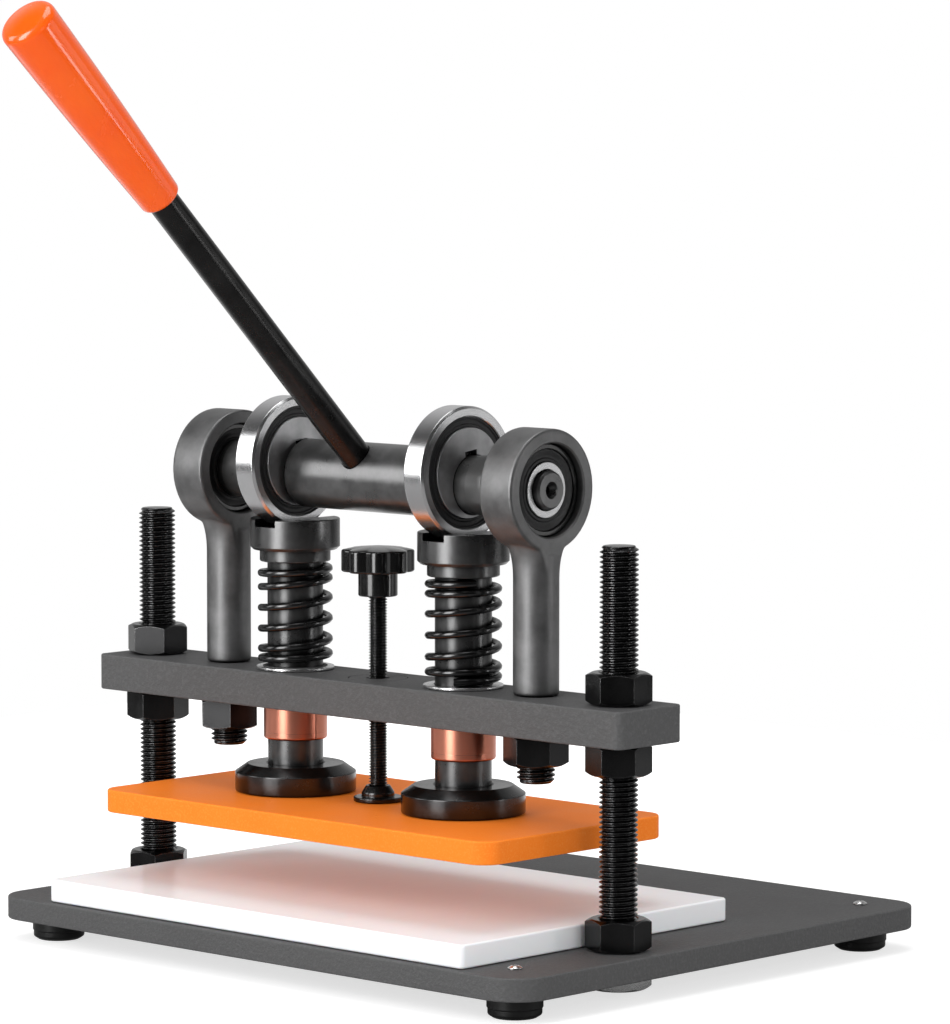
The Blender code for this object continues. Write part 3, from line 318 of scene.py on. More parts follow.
# Springs
SPRING_RADIUS = 0.0179
SPRING_WIRE_RADIUS = 0.0020
SPRING_TURNS = 6.1
SPRING_STEPS_PER_TURN = 30
SPRING_WIRE_STEPS = 14
SPRING_CLOSED_PITCH = 0.0048
SPRING_CLOSED_TURNS = 1.1
SPRING_BLEND_TURNS = 0.5
SPRING_START = {"left": math.radians(112), "right": math.radians(-62)}

# Screw, knob and foot
SCREW_BUSH_RADIUS = 0.0157
SCREW_BUSH_LEAD = 0.0014
KNOB_HUB_RADIUS = 0.01025
KNOB_HUB_HEIGHT = 0.0125
KNOB_RADIUS = 0.0190
KNOB_WAIST_RADIUS = 0.0164
KNOB_LOBES = 8
KNOB_STEPS_PER_LOBE = 12
KNOB_LOBE_FULLNESS = 0.6
KNOB_RIM_HEIGHT = 0.0117
KNOB_ROUND = 0.0012
KNOB_ROUND_STEPS = 5
KNOB_CROWN = 0.0016
KNOB_CROWN_SHARES = ((0.85, 0.3), (0.7, 0.56), (0.5, 0.8), (0.3, 0.95), (0.1, 1))
SWIVEL_RIM = 0.0024
SWIVEL_DOME_RADIUS = 0.0086
SWIVEL_DOME_SHARE = 0.55
SWIVEL_DOME_ROUND = 0.0016
SWIVEL_NECK_RADIUS = 0.0062
SWIVEL_SOCKET_SHARE = 0.5

looks = {}


def node(tree, kind, settings=None, values=None):
    """A shader node with its properties, and with its inputs set or linked."""
    made = tree.nodes.new(f"ShaderNode{kind}")
    for name, value in (settings or {}).items():
        setattr(made, name, value)
    for key, value in (values or {}).items():
        fill(tree, made.inputs[key], value)
    return made


def fill(tree, socket, value):
    """Links another socket to this one, or sets its value."""
    if isinstance(value, bpy.types.NodeSocket):
        tree.links.new(value, socket)
    else:
        socket.default_value = value


def feed(tree, shader, **values):
    for key, value in values.items():
        fill(tree, shader.inputs[key.replace("_", " ")], value)


def calculated(tree, operation, first, second=0.0):
    return node(tree, "Math", {"operation": operation}, {0: first, 1: second}).outputs[0]


def dotted(tree, first, second):
    made = node(tree, "VectorMath", {"operation": "DOT_PRODUCT"}, {0: first, 1: second})
    return made.outputs["Value"]


def length_of(tree, vector):
    return node(tree, "VectorMath", {"operation": "LENGTH"}, {0: vector}).outputs["Value"]


def mixed(tree, share, first, second):
    """A colour between two, each given as red, green and blue or as a socket."""
    first, second = ((*each, 1) if isinstance(each, tuple) else each for each in (first, second))
    made = node(tree, "Mix", {"data_type": "RGBA"}, {0: share, 6: first, 7: second})
    return made.outputs[2]


def ranged(tree, value, low, high, first=0.0, last=1.0):
    """The value stretched from one range to another."""
    return node(tree, "MapRange", None, {
        "Value": value, "From Min": low, "From Max": high, "To Min": first, "To Max": last,
    }).outputs["Result"]


def grain(tree, where, scale, detail=4.0, rough=0.6, stretch=None):
    """Cloudy noise over the piece, at a scale per metre."""
    if stretch:
        where = node(tree, "Mapping", None, {"Vector": where, "Scale": stretch}).outputs["Vector"]
    made = node(tree, "TexNoise", None, {
        "Vector": where, "Scale": scale, "Detail": detail, "Roughness": rough,
    })
    return made.outputs["Fac"]


def rolled(tree, radius):
    """The normal of the surface as if its edges were rolled by a radius."""
    return node(tree, "Bevel", {"samples": EDGE_SAMPLES}, {"Radius": radius}).outputs["Normal"]


def edge_wear_and_glint(tree, radius, noise):
    """How near a convex edge the surface lies, broken up by noise."""
    met = dotted(tree, rolled(tree, radius), node(tree, "NewGeometry").outputs["True Normal"])
    near = ranged(tree, met, 0.995, 0.90)
    return calculated(tree, "MULTIPLY", near, ranged(tree, noise, 0.35, 0.65, 0.25, 1.0))


def bumped(tree, height, strength, distance, normal=None):
    values = {"Height": height, "Strength": strength, "Distance": distance}
    if normal is not None:
        values["Normal"] = normal
    return node(tree, "Bump", None, values).outputs["Normal"]


def scaled(colour, factor, lift=0.0):
    return tuple(channel * factor + lift for channel in colour)


def new_look(name):
    """An empty Principled material, its tree, its shader and the piece's own coordinates."""
    made = bpy.data.materials.new(name)
    made.use_nodes = True
    tree = made.node_tree
    return made, tree, tree.nodes["Principled BSDF"], node(tree, "TexCoord").outputs["Object"]


def painted_look(name, colour, worn, rough, fine_scale, depth, shine):
    """Textured powder paint on steel, a little lighter on its edges."""
    made, tree, shader, where = new_look(name)
    patches = grain(tree, where, 14, 3)
    fine = grain(tree, where, fine_scale, 3, 0.55)
    wear = edge_wear_and_glint(tree, PAINT_WEAR_REACH, grain(tree, where, 160, 3))
    base = mixed(tree, patches, scaled(colour, 0.84), colour)
    speckled = mixed(tree, ranged(tree, fine, 0.50, 0.75, 0, 0.25), base, worn)
    feed(
        tree, shader,
        Base_Color=mixed(tree, ranged(tree, wear, 0, 1, 0, 0.55), speckled, worn),
        Roughness=ranged(tree, patches, 0.3, 0.7, rough - 0.05, rough + 0.07),
        Specular_IOR_Level=shine,
        Normal=bumped(tree, fine, 0.5, depth),
    )
    return made


def oxide_look(name, colour, worn, rough, metallic, wear_and_glint_share, bare_span=None):
    """Black oxide or burnished steel, oily, with lighter worn edges that also serve as painted glints, and
    painted shade laid into its hollows.

    Within bare_span on the X axis, to either side, the steel is bare.
    """
    made, tree, shader, where = new_look(name)
    blotches = grain(tree, where, 55, 4)
    fine = grain(tree, where, 1400, 2)
    # Lighter edges: real wear, and on threads and nut edges also painted glints
    wear = edge_wear_and_glint(tree, STEEL_WEAR_AND_GLINT_REACH, grain(tree, where, 300, 3))
    base = mixed(tree, ranged(tree, blotches, 0.35, 0.7), colour, scaled(colour, 1.6, 0.001))
    base = mixed(tree, ranged(tree, wear, 0, 1, 0, wear_and_glint_share), base, worn)
    if bare_span:
        along = node(tree, "SeparateXYZ", None, {"Vector": where}).outputs["X"]
        along = calculated(tree, "ABSOLUTE", along)
        start, end = bare_span
        begun = ranged(tree, along, start, start + SMALL)
        ended = ranged(tree, along, end, end + SMALL, 1, 0)
        bare_steel = mixed(tree, blotches, STEEL_DULL, STEEL_BRIGHT)
        base = mixed(tree, calculated(tree, "MULTIPLY", begun, ended), base, bare_steel)
    # Painted shade: ambient occlusion darkens the base colour towards near-black in hollows, creases and
    # under neighbouring parts
    painted_shade_mask = node(tree, "AmbientOcclusion", {"samples": PAINTED_SHADE_SAMPLES}, {"Distance": PAINTED_SHADE_REACH})
    feed(
        tree, shader,
        Base_Color=mixed(tree, ranged(tree, painted_shade_mask.outputs["AO"], 0.15, 0.85), PAINTED_HOLLOW_SHADE, base),
        Metallic=metallic,
        Roughness=ranged(tree, blotches, 0.3, 0.7, rough - 0.06, rough + 0.08),
        Normal=bumped(tree, fine, 0.12, 0.0001, rolled(tree, EASED_EDGE)),
    )
    return made


def turned_metal_look(name, colour, rough, rings, axis, strength, smudge):
    """Bright metal with fine rings left by turning or grinding about an axis."""
    made, tree, shader, where = new_look(name)
    parts = node(tree, "SeparateXYZ", None, {"Vector": where}).outputs
    first, second = ("Y", "Z") if axis == "X" else ("X", "Y")
    across = node(tree, "CombineXYZ", None, {"X": parts[first], "Y": parts[second]})
    radius = length_of(tree, across.outputs["Vector"])
    lines = node(tree, "CombineXYZ", None, {"X": radius, "Y": parts[axis]})
    groove = grain(tree, lines.outputs["Vector"], rings, 3, 0.7)
    haze = ranged(tree, grain(tree, where, 45, 3), 0.35, 0.7)
    feed(
        tree, shader,
        Base_Color=mixed(tree, haze, colour, scaled(colour, 1 - smudge)),
        Metallic=1.0,
        Roughness=ranged(tree, groove, 0.3, 0.7, rough * 0.85, rough * 1.15),
        Normal=bumped(tree, groove, strength, 0.00006),
    )
    return made


def moulded_look(name, colour, deep, rough, coat, glow):
    """Glossy moulded plastic with a faint orange-peel surface and soft scuffs."""
    made, tree, shader, where = new_look(name)
    peel = grain(tree, where, 260, 2, 0.5)
    scuffs = grain(tree, where, 60, 5, 0.7, (1, 1, 0.25))
    feed(
        tree, shader,
        Base_Color=mixed(tree, ranged(tree, grain(tree, where, 30, 2), 0.3, 0.7), deep, colour),
        Roughness=ranged(tree, scuffs, 0.35, 0.75, rough, rough + 0.14),
        Coat_Weight=coat,
        Coat_Roughness=0.06,
        Subsurface_Weight=glow,
        Subsurface_Scale=0.004,
        Specular_IOR_Level=0.5,
        Normal=bumped(tree, peel, 0.08, 0.0004),
    )
    return made


def rubber_look(name, colour, rough):
    """Dull moulded rubber with a fine pitted surface and dust in its pits."""
    made, tree, shader, where = new_look(name)
    pits = grain(tree, where, 900, 3)
    dust = ranged(tree, grain(tree, where, 90, 4), 0.45, 0.75, 0, 0.8)
    feed(
        tree, shader,
        Base_Color=mixed(tree, dust, colour, scaled(colour, 1.9, 0.004)),
        Roughness=ranged(tree, pits, 0.3, 0.7, rough - 0.08, rough + 0.08),
        Specular_IOR_Level=0.4,
        Normal=bumped(tree, pits, 0.25, 0.0002),
    )
    return made


def board_look():
    """White cutting plastic: glossy, faintly cloudy, with fine knife scratches."""
    made, tree, shader, where = new_look("white_board_look")
    scratch = grain(tree, where, 420, 4, 0.75, (1, 0.06, 1))
    feed(
        tree, shader,
        Base_Color=mixed(tree, grain(tree, where, 18, 3), BOARD_DULL, BOARD_BRIGHT),
        Roughness=ranged(tree, scratch, 0.3, 0.75, 0.14, 0.20),
        Subsurface_Weight=0.1,
        Subsurface_Scale=0.006,
        Specular_IOR_Level=0.04,
        Normal=bumped(tree, scratch, 0.03, 0.0001),
    )
    return made


def make_looks():
    """Every material, by the name that the pieces call it."""
    kinds = (
        (painted_look, PAINTS),
        (oxide_look, OXIDES),
        (turned_metal_look, TURNED_METALS),
        (moulded_look, PLASTICS),
        (rubber_look, RUBBERS),
    )
    for maker, table in kinds:
        for name, values in table.items():
            looks[name] = maker(f"{name}_look", *values)
    looks["white_board"] = board_look()


def rounded(points):
    """A line through points (a, b) or (a, b, radius), with an arc where a radius is given."""
    line = []
    last = len(points) - 1
    for index, point in enumerate(points):
        here = Vector(point[:2])
        radius = point[2] if len(point) > 2 else 0
        if not radius or index in (0, last):
            line.append(tuple(here))
            continue
        back = (Vector(points[index - 1][:2]) - here).normalized()
        ahead = (Vector(points[index + 1][:2]) - here).normalized()
        half = back.angle(ahead) / 2
        reach = radius / math.tan(half)
        middle = here + (back + ahead).normalized() * radius / math.sin(half)
        start = here + back * reach - middle
        end = here + ahead * reach - middle
        sweep = math.atan2(start.x * end.y - start.y * end.x, start.dot(end))
        for step in range(FILLET_STEPS + 1):
            turn = Matrix.Rotation(sweep * step / FILLET_STEPS, 2)
            line.append(tuple(middle + turn @ start))
    return line


def mirrored(half):
    """An outline that runs on past height zero as its own mirror image."""
    return half + [(radius, -height, *rest) for radius, height, *rest in reversed(half)]


def arc(centre, radius, start, end, steps):
    across, along = centre
    turns = [start + (end - start) * step / steps for step in range(steps + 1)]
    return [(across + radius * math.cos(turn), along + radius * math.sin(turn)) for turn in turns]


def ring_of(radii, turns, levels):
    """A ring of points about Z, each with its own radius, turn and level."""
    return [(a * math.cos(b), a * math.sin(b), c) for a, b, c in zip(radii, turns, levels)]


def mesh_from(name, bm):
    """The bmesh as a clean mesh facing out, smooth with sharp edges."""
    bmesh.ops.remove_doubles(bm, verts=bm.verts, dist=WELD_DISTANCE)
    bmesh.ops.dissolve_degenerate(bm, edges=bm.edges, dist=WELD_DISTANCE / 2)
    bmesh.ops.recalc_face_normals(bm, faces=bm.faces)
    mesh = bpy.data.meshes.new(name)
    bm.to_mesh(mesh)
    bm.free()
    mesh.shade_smooth()
    mesh.set_sharp_from_angle(angle=SHARP_ANGLE)
    return mesh


def join_rows(bm, rows):
    """Faces from each ring of points to the next. A ring can be one point, repeated."""
    for lower, upper in zip(rows, rows[1:]):
        for index in range(len(lower)):
            corners = (lower[index - 1], lower[index], upper[index], upper[index - 1])
            corners = list(dict.fromkeys(corners))
            if len(corners) > 2:
                bm.faces.new(corners)


def skin(name, rows):
    """A closed mesh over rings of points, with a flat face on each end."""
    bm = bmesh.new()
    rows = [[bm.verts.new(point) for point in row] for row in rows]
    join_rows(bm, rows)
    bm.faces.new(rows[0])
    bm.faces.new(rows[-1])
    return mesh_from(name, bm)


def lathe(name, outline, steps=MEDIUM_STEPS, axis="Z"):
    """A turned solid from an outline of (radius, height) points. Off the axis it is a ring."""
    bm = bmesh.new()
    turns = [FULL_TURN * index / steps for index in range(steps)]
    rows = []
    for radius, height in outline:
        if radius <= 0:
            rows.append([bm.verts.new((0, 0, height))] * steps)
            continue
        rows.append([bm.verts.new((radius * math.cos(a), radius * math.sin(a), height)) for a in turns])
    if outline[0][0] > 0:
        rows.append(rows[0])
    join_rows(bm, rows)
    if axis == "X":
        bm.transform(Matrix.Rotation(QUARTER_TURN, 4, "Y"))
    return mesh_from(name, bm)


def wheel(name, half_outline, steps=FINE_STEPS):
    """A turned solid about X with two faces alike, from one half of its outline."""
    return lathe(name, rounded(mirrored(half_outline)), steps, "X")


def slab(name, corner, edge):
    """A plate of a node's size on z = 0, with round corners and edges rolled by a small radius."""
    width, depth, thickness = size_of(name)
    levels = rounded([(-1, 0), (0, 0, edge), (0, thickness, edge), (-1, thickness)])[1:-1]
    places = [
        (side_x * (width / 2 - corner), side_y * (depth / 2 - corner), quarter * QUARTER_TURN)
        for side_x, side_y, quarter in ((1, -1, -1), (1, 1, 0), (-1, 1, 1), (-1, -1, 2))
    ]
    rows = []
    for inset, level in levels:
        row = []
        for x, y, start in places:
            row += arc((x, y), corner + inset, start, start + QUARTER_TURN, CORNER_STEPS)
        rows.append([(x, y, level) for x, y in row])
    return skin(f"{name}_fine", rows)


def thread_outline(pitch):
    """One pitch of a thread as (height, depth) pairs in metres, from root to root."""
    depth = pitch * THREAD_DEPTH_SHARE
    root = pitch * ROOT_SHARE / 2
    crest = pitch * CREST_SHARE / 2
    middle = pitch / 2
    return [(0, depth), (root, depth), (middle - crest, 0), (middle + crest, 0), (pitch - root, depth)]


def threaded(name, radius, pitch, length, chamfer, steps=SMALL_STEPS):
    """A rod on z = 0 with a true right-hand thread, its ends cut off and chamfered."""
    bm = bmesh.new()
    rows = []
    for turn in range(-1, math.ceil(length / pitch) + 1):
        for height, depth in thread_outline(pitch):
            row = []
            for index in range(steps + 1):
                share = index / steps
                level = pitch * (turn + share) + height
                level = min(max(level, 0), length)
                reach = radius - max(depth, chamfer - (length - level), chamfer - level)
                spin = FULL_TURN * share
                row.append(bm.verts.new((reach * math.cos(spin), reach * math.sin(spin), level)))
            rows.append(row)
    for lower, upper in zip(rows, rows[1:]):
        for index in range(steps):
            bm.faces.new((lower[index], lower[index + 1], upper[index + 1], upper[index]))
    bmesh.ops.remove_doubles(bm, verts=bm.verts, dist=WELD_DISTANCE)
    bmesh.ops.holes_fill(bm, edges=bm.edges, sides=steps + 1)
    return mesh_from(name, bm)


def nut_mesh(name, height):
    """A hexagon nut whose corners are cut by a cone at both ends, with a countersunk bore."""
    half_flat = NUT_ACROSS / 2
    face = half_flat * NUT_FACE_SHARE
    bore = ROD_RADIUS - CRISP
    side_turn = FULL_TURN / NUT_SIDES
    count = NUT_SIDES * NUT_STEPS
    turns = [side_turn * index / NUT_STEPS for index in range(count)]
    reach = [half_flat / math.cos(turn % side_turn - side_turn / 2) for turn in turns]
    drop = [(each - face) * math.tan(NUT_CHAMFER_ANGLE) for each in reach]
    rings = [([radius] * count, [level] * count) for radius, level in (
        (bore, NUT_SINK), (bore + NUT_SINK, 0), (face - NUT_EDGE, 0), (face, NUT_RIM),
    )]
    rings += [(reach, drop), (reach, [each + NUT_EDGE for each in drop])]
    rows = [ring_of(radii, turns, levels) for radii, levels in rings]
    rows += [[(x, y, height - z) for x, y, z in row] for row in reversed(rows)]
    bm = bmesh.new()
    rows = [[bm.verts.new(point) for point in row] for row in rows]
    join_rows(bm, rows + rows[:1])
    return mesh_from(name, bm)


def boxed(name, size, centre=(0, 0, 0), edge=0.0):
    bm = bmesh.new()
    bmesh.ops.create_cube(bm, size=1)
    bm.transform(Matrix.Translation(centre) @ Matrix.Diagonal((*size, 1)))
    if edge:
        edges = bm.edges[:]
        bmesh.ops.bevel(bm, geom=edges, offset=edge, segments=BEVEL_STEPS, affect="EDGES", profile=0.5)
    return mesh_from(name, bm)


def bare(name, data, location=(0, 0, 0), rotation=(0, 0, 0)):
    """An object with no role yet."""
    made = bpy.data.objects.new(name, data)
    bpy.context.scene.collection.objects.link(made)
    made.location = location
    made.rotation_euler = rotation
    return made


def combined(mesh, tools, finish=None):
    """The mesh after Booleans with tool meshes, each given as (operation, mesh, place, turn).

    A finish, where there is one, adds other modifiers to the body before the last of the Booleans.
    """
    body = bare("body", mesh)
    objects = [body]
    for index, (operation, tool, *where) in enumerate(tools):
        if finish and index == len(tools) - 1:
            finish(body)
        objects.append(bare("tool", tool, *where))
        modifier = body.modifiers.new("cut", "BOOLEAN")
        modifier.operation = operation
        modifier.solver = "EXACT"
        modifier.object = objects[-1]
    bpy.context.view_layer.update()
    graph = bpy.context.evaluated_depsgraph_get()
    made = bpy.data.meshes.new_from_object(body.evaluated_get(graph))
    for used in objects:
        bpy.data.objects.remove(used, do_unlink=True)
    made.shade_smooth()
    made.set_sharp_from_angle(angle=SHARP_ANGLE)
    return made


def drilled(mesh, holes, high, low=-OVERRUN, steps=SMALL_STEPS):
    """The mesh with upright round holes between two levels, each given as (x, y, radius)."""
    tools = []
    for x, y, radius in holes:
        outline = [(0, high), (radius, high), (radius, low), (0, low)]
        tools.append(("DIFFERENCE", lathe("hole", outline, steps), (x, y, 0)))
    return combined(mesh, tools)


def size_of(name):
    """Width, depth and height of a node."""
    low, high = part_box(name)
    return [end - start for start, end in zip(low, high)]


def middle_of(name):
    low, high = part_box(name)
    return (low + high) / 2


def standing(name, level_of=None):
    """The middle of a node in plan, at its own lowest level or that of another node."""
    spot = middle_of(name)
    return (spot.x, spot.y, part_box(level_of or name)[0].z)


def shaft_centre(x=0):
    """A point on the camshaft's axis."""
    return Vector((x, middle_of("camshaft").y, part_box("eye_bolt_left")[1].z - EYE_RADIUS))


def add_piece(name, mesh, look, body, location, rotation=(0, 0, 0), extra=False):
    """A fine piece that rides on a body, in the place of the node of its name if it isn't extra."""
    if not mesh.materials:
        mesh.materials.append(looks[look])
    piece = bare(f"{name}_fine", mesh, location, rotation)
    piece.modifiers.new("weighted", "WEIGHTED_NORMAL").keep_sharp = True
    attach(piece, body)
    if not extra:
        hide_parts(name)


def build_base():
    """Base plate, feet and their screws."""
    centre = middle_of("base_plate")
    rods = [middle_of(f"threaded_rod_{name}") for name in SIDES]
    holes = [(spot.x, spot.y - centre.y, BASE_ROD_HOLE) for spot in rods]
    mesh = drilled(slab("base_plate", BASE_CORNER, BASE_EDGE), holes, BASE_HOLE_REACH)
    add_piece("base_plate", mesh, "black_paint", "frame", standing("base_plate"))
    feet = [f"foot_{end}_{name}" for end in ("front", "back") for name in SIDES]
    width, _, height = size_of(feet[0])
    radius = width / 2
    step_top, step_bottom = (height * share for share in FOOT_STEP_SHARES)
    foot = lathe("foot_fine", rounded([
        (0, height),
        (radius - EASY, height, SMALL),
        (radius, height - BROAD, EASY),
        (radius, step_top, SLIM),
        (radius - SMALL, step_bottom, FINE),
        (radius - SMALL, FOOT_TOE_RISE, FOOT_TOE_ROUND),
        (radius - FOOT_TOE_INSET, 0, SOFT),
        (0, 0),
    ]))
    for name in feet:
        add_piece(name, foot, "rubber", "frame", standing(name))
    screws = [name.replace("foot", "foot_screw") for name in feet]
    head = size_of(screws[0])[0] / 2
    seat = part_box("base_plate")[1].z
    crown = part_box(screws[0])[1].z - seat
    shank = head * FOOT_SCREW_SHANK_SHARE
    screw = lathe("foot_screw_fine", rounded([
        (0, crown),
        (head * FOOT_SCREW_CROWN_SHARE, crown, SOFT),
        (head, crown * FOOT_SCREW_RIM_SHARE, SLIM),
        (head, FINE),
        (shank, FINE),
        (shank, -FOOT_SCREW_DEPTH),
        (0, -FOOT_SCREW_DEPTH),
    ]), SMALL_STEPS)
    screw = combined(screw, [
        ("DIFFERENCE", boxed("recess", (*size, FOOT_SCREW_SLOT_DEPTH), (0, 0, crown)))
        for size in ((head, SOFT), (SOFT, head))
    ])
    for index, name in enumerate(screws):
        spot = middle_of(name)
        turn = FOOT_SCREW_TURN + FOOT_SCREW_TURN_STEP * index
        add_piece(name, screw, "zinc", "frame", (spot.x, spot.y, seat), (0, 0, turn))


def build_rods():
    """The threaded rods, and all the nuts."""
    rods = [f"threaded_rod_{name}" for name in SIDES]
    rod = threaded("threaded_rod_fine", ROD_RADIUS, ROD_PITCH, size_of(rods[0])[2], ROD_CHAMFER)
    for name in rods:
        add_piece(name, rod, "black_oxide", "frame", standing(name))
    thick = nut_mesh("nut_fine", size_of("base_nut_left")[2])
    thin = nut_mesh("thin_nut_fine", size_of("under_nut_left")[2])
    for name, turn in NUT_TURNS.items():
        mesh, look = (thin, "zinc") if name.startswith("under") else (thick, "black_oxide")
        body = "frame" if name.startswith(("base", "under")) else "head"
        add_piece(name, mesh, look, body, standing(name), (0, 0, math.radians(turn)))


def build_board():
    mesh = slab("cutting_board", BOARD_CORNER, BOARD_EDGE)
    add_piece("cutting_board", mesh, "white_board", "board", standing("cutting_board"))


def build_crossbar():
    """The crossbar with its bushes, washers and the flush bush of the screw."""
    holes = []
    for name, radius in (
        ("threaded_rod", BASE_ROD_HOLE),
        ("eye_bolt", STUD_RADIUS + FIT_GAP),
        ("plunger", BUSH_RADIUS + FIT_GAP),
    ):
        x = middle_of(f"{name}_right").x
        holes += [(side * x, 0, radius) for side in SIDES.values()]
    holes.append((0, 0, SCREW_BUSH_RADIUS + FIT_GAP / 2))
    thickness = size_of("crossbar")[2]
    mesh = drilled(slab("crossbar", BAR_CORNER, BAR_EDGE), holes, thickness + OVERRUN)
    add_piece("crossbar", mesh, "black_paint", "head", standing("crossbar"))
    bush = lathe("screw_bush_fine", rounded([
        (SCREW_RADIUS + FIT_GAP, thickness - BROAD),
        (SCREW_RADIUS + SCREW_BUSH_LEAD, thickness),
        (SCREW_BUSH_RADIUS - EASY, thickness),
        (SCREW_BUSH_RADIUS, thickness - EASY),
        (SCREW_BUSH_RADIUS, EASY),
        (SCREW_BUSH_RADIUS - EASY, 0),
        (SCREW_RADIUS + SCREW_BUSH_LEAD, 0),
        (SCREW_RADIUS + FIT_GAP, BROAD),
    ]))
    add_piece("screw_bush", bush, "black_paint", "head", standing("screw_bush"))
    width, _, thin = size_of("spring_washer_left")
    washer = lathe("spring_washer_fine", rounded([
        (PLUNGER_RADIUS + EASY, thin),
        (width / 2, thin, SMALL),
        (width / 2, 0, SLIM),
        (PLUNGER_RADIUS + EASY, 0),
    ]))
    height = size_of("guide_bush_left")[2]
    inner = PLUNGER_RADIUS + FIT_GAP
    sleeve = lathe("guide_bush_fine", rounded([
        (inner, height - SLIM),
        (inner + SLIM, height),
        (BUSH_RADIUS, height, SLIM),
        (BUSH_RADIUS, 0, BUSH_FOOT_ROUND),
        (inner + SLIM, 0),
        (inner, SLIM),
    ]), FINE_STEPS)
    seam = boxed("seam", (BUSH_RADIUS, BUSH_SEAM, 3 * height), (BUSH_RADIUS, 0, height / 2))
    sleeve = combined(sleeve, [("DIFFERENCE", seam)])
    for name in SIDES:
        plunger = f"plunger_{name}"
        piece = f"spring_washer_{name}"
        add_piece(piece, washer, "zinc", "head", standing(plunger, piece))
        piece = f"guide_bush_{name}"
        seam_turn = (0, 0, BUSH_SEAM_TURN[name])
        add_piece(piece, sleeve, "copper", "head", standing(plunger, piece), seam_turn)


def forge(body):
    """Blends what a body is made of so far into one smooth skin."""
    remesh = body.modifiers.new("forged", "REMESH")
    remesh.mode = "VOXEL"
    remesh.voxel_size = FORGE_VOXEL
    ease = body.modifiers.new("eased", "SMOOTH")
    ease.iterations = FORGE_PASSES
    ease.factor = FORGE_EASE


def eye_bolt_mesh(shoulder):
    """A forged eye bolt about the centre of its eye, its parts blended into one smooth body."""
    half = EYE_THICKNESS / 2
    ring = wheel("eye_ring", [(0, half), (EYE_RADIUS, half, EYE_EDGE)])
    neck_bottom = -NECK_DROP - NECK_LENGTH
    flare = [
        (NECK_RADIUS - (NECK_RADIUS - POST_RADIUS) * across, neck_bottom + NECK_LENGTH * along)
        for along, across in arc((0, 0), 1, 0, QUARTER_TURN, CORNER_STEPS)
    ]
    neck = lathe("neck", [(0, -NECK_DROP), *flare, (0, neck_bottom)], SMALL_STEPS)
    narrow_size = (EYE_THICKNESS, 3 * NECK_RADIUS, NECK_LENGTH + OVERRUN)
    narrow = boxed("neck_slab", narrow_size, (0, 0, neck_bottom + NECK_LENGTH / 2))
    neck = combined(neck, [("INTERSECT", narrow)])
    post = lathe("post", [
        (0, neck_bottom + POST_RADIUS),
        (POST_RADIUS, neck_bottom + POST_RADIUS),
        (POST_RADIUS, shoulder + SOFT),
        (POST_RADIUS - SOFT, shoulder),
        (0, shoulder),
    ], SMALL_STEPS)
    body = combined(ring, [("UNION", neck), ("UNION", post)])
    bore = lathe("eye_bore", mirrored([
        (0, half + OVERRUN),
        (BEARING_RADIUS + PLAIN + OVERRUN, half + OVERRUN),
        (BEARING_RADIUS + FIT_GAP, half - SOFT),
    ]), FINE_STEPS, "X")
    return combined(body, [("DIFFERENCE", bore)], forge)


def build_eyes():
    """Eye bolts, their threaded studs, and the ball bearings in their eyes."""
    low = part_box("eye_bolt_left")[0].z
    bar_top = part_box("crossbar")[1].z
    bolt = eye_bolt_mesh(bar_top + FIT_GAP - shaft_centre().z)
    stud = threaded("eye_stud_fine", STUD_RADIUS, ROD_PITCH, bar_top + PLAIN - low, STUD_CHAMFER)
    half = BEARING_WIDTH / 2
    inner = BEARING_RADIUS - BEARING_LIP
    ring = wheel("bearing_ring_fine", [
        (inner, half - SLIM),
        (inner + SLIM, half),
        (BEARING_RADIUS, half, SOFT),
    ])
    face = half - SEAL_RECESS
    seal = wheel("bearing_seal_fine", [
        (HUB_RADIUS + FIT_GAP, face),
        (HUB_RADIUS + HUB_SEAL_RIM, face, FINE),
        (HUB_RADIUS + HUB_SEAL_RIM + SLIM, face - SMALL, FINE),
        ((inner + HUB_RADIUS) / 2, face - SMALL, FINE),
        (inner - RING_SEAL_RIM, face, SLIM),
        (inner - FIT_GAP, face),
    ])
    bore = SHAFT_END_RADIUS + FIT_GAP
    hub = wheel("bearing_hub_fine", [
        (bore, half - EASY),
        (bore + EASY, half),
        (HUB_RADIUS, half, SMALL),
    ])
    for name in SIDES:
        place = shaft_centre(middle_of(f"eye_bearing_hub_{name}").x)
        add_piece(f"eye_bolt_{name}", bolt, "forged_steel", "head", place)
        add_piece(f"eye_stud_{name}", stud, "black_oxide", "head", (place.x, place.y, low), extra=True)
        add_piece(f"eye_bearing_ring_{name}", ring, "oiled_steel", "head", place)
        add_piece(f"eye_bearing_seal_{name}", seal, "seal", "head", place)
        add_piece(f"eye_bearing_hub_{name}", hub, "bearing_steel", "lever", place)


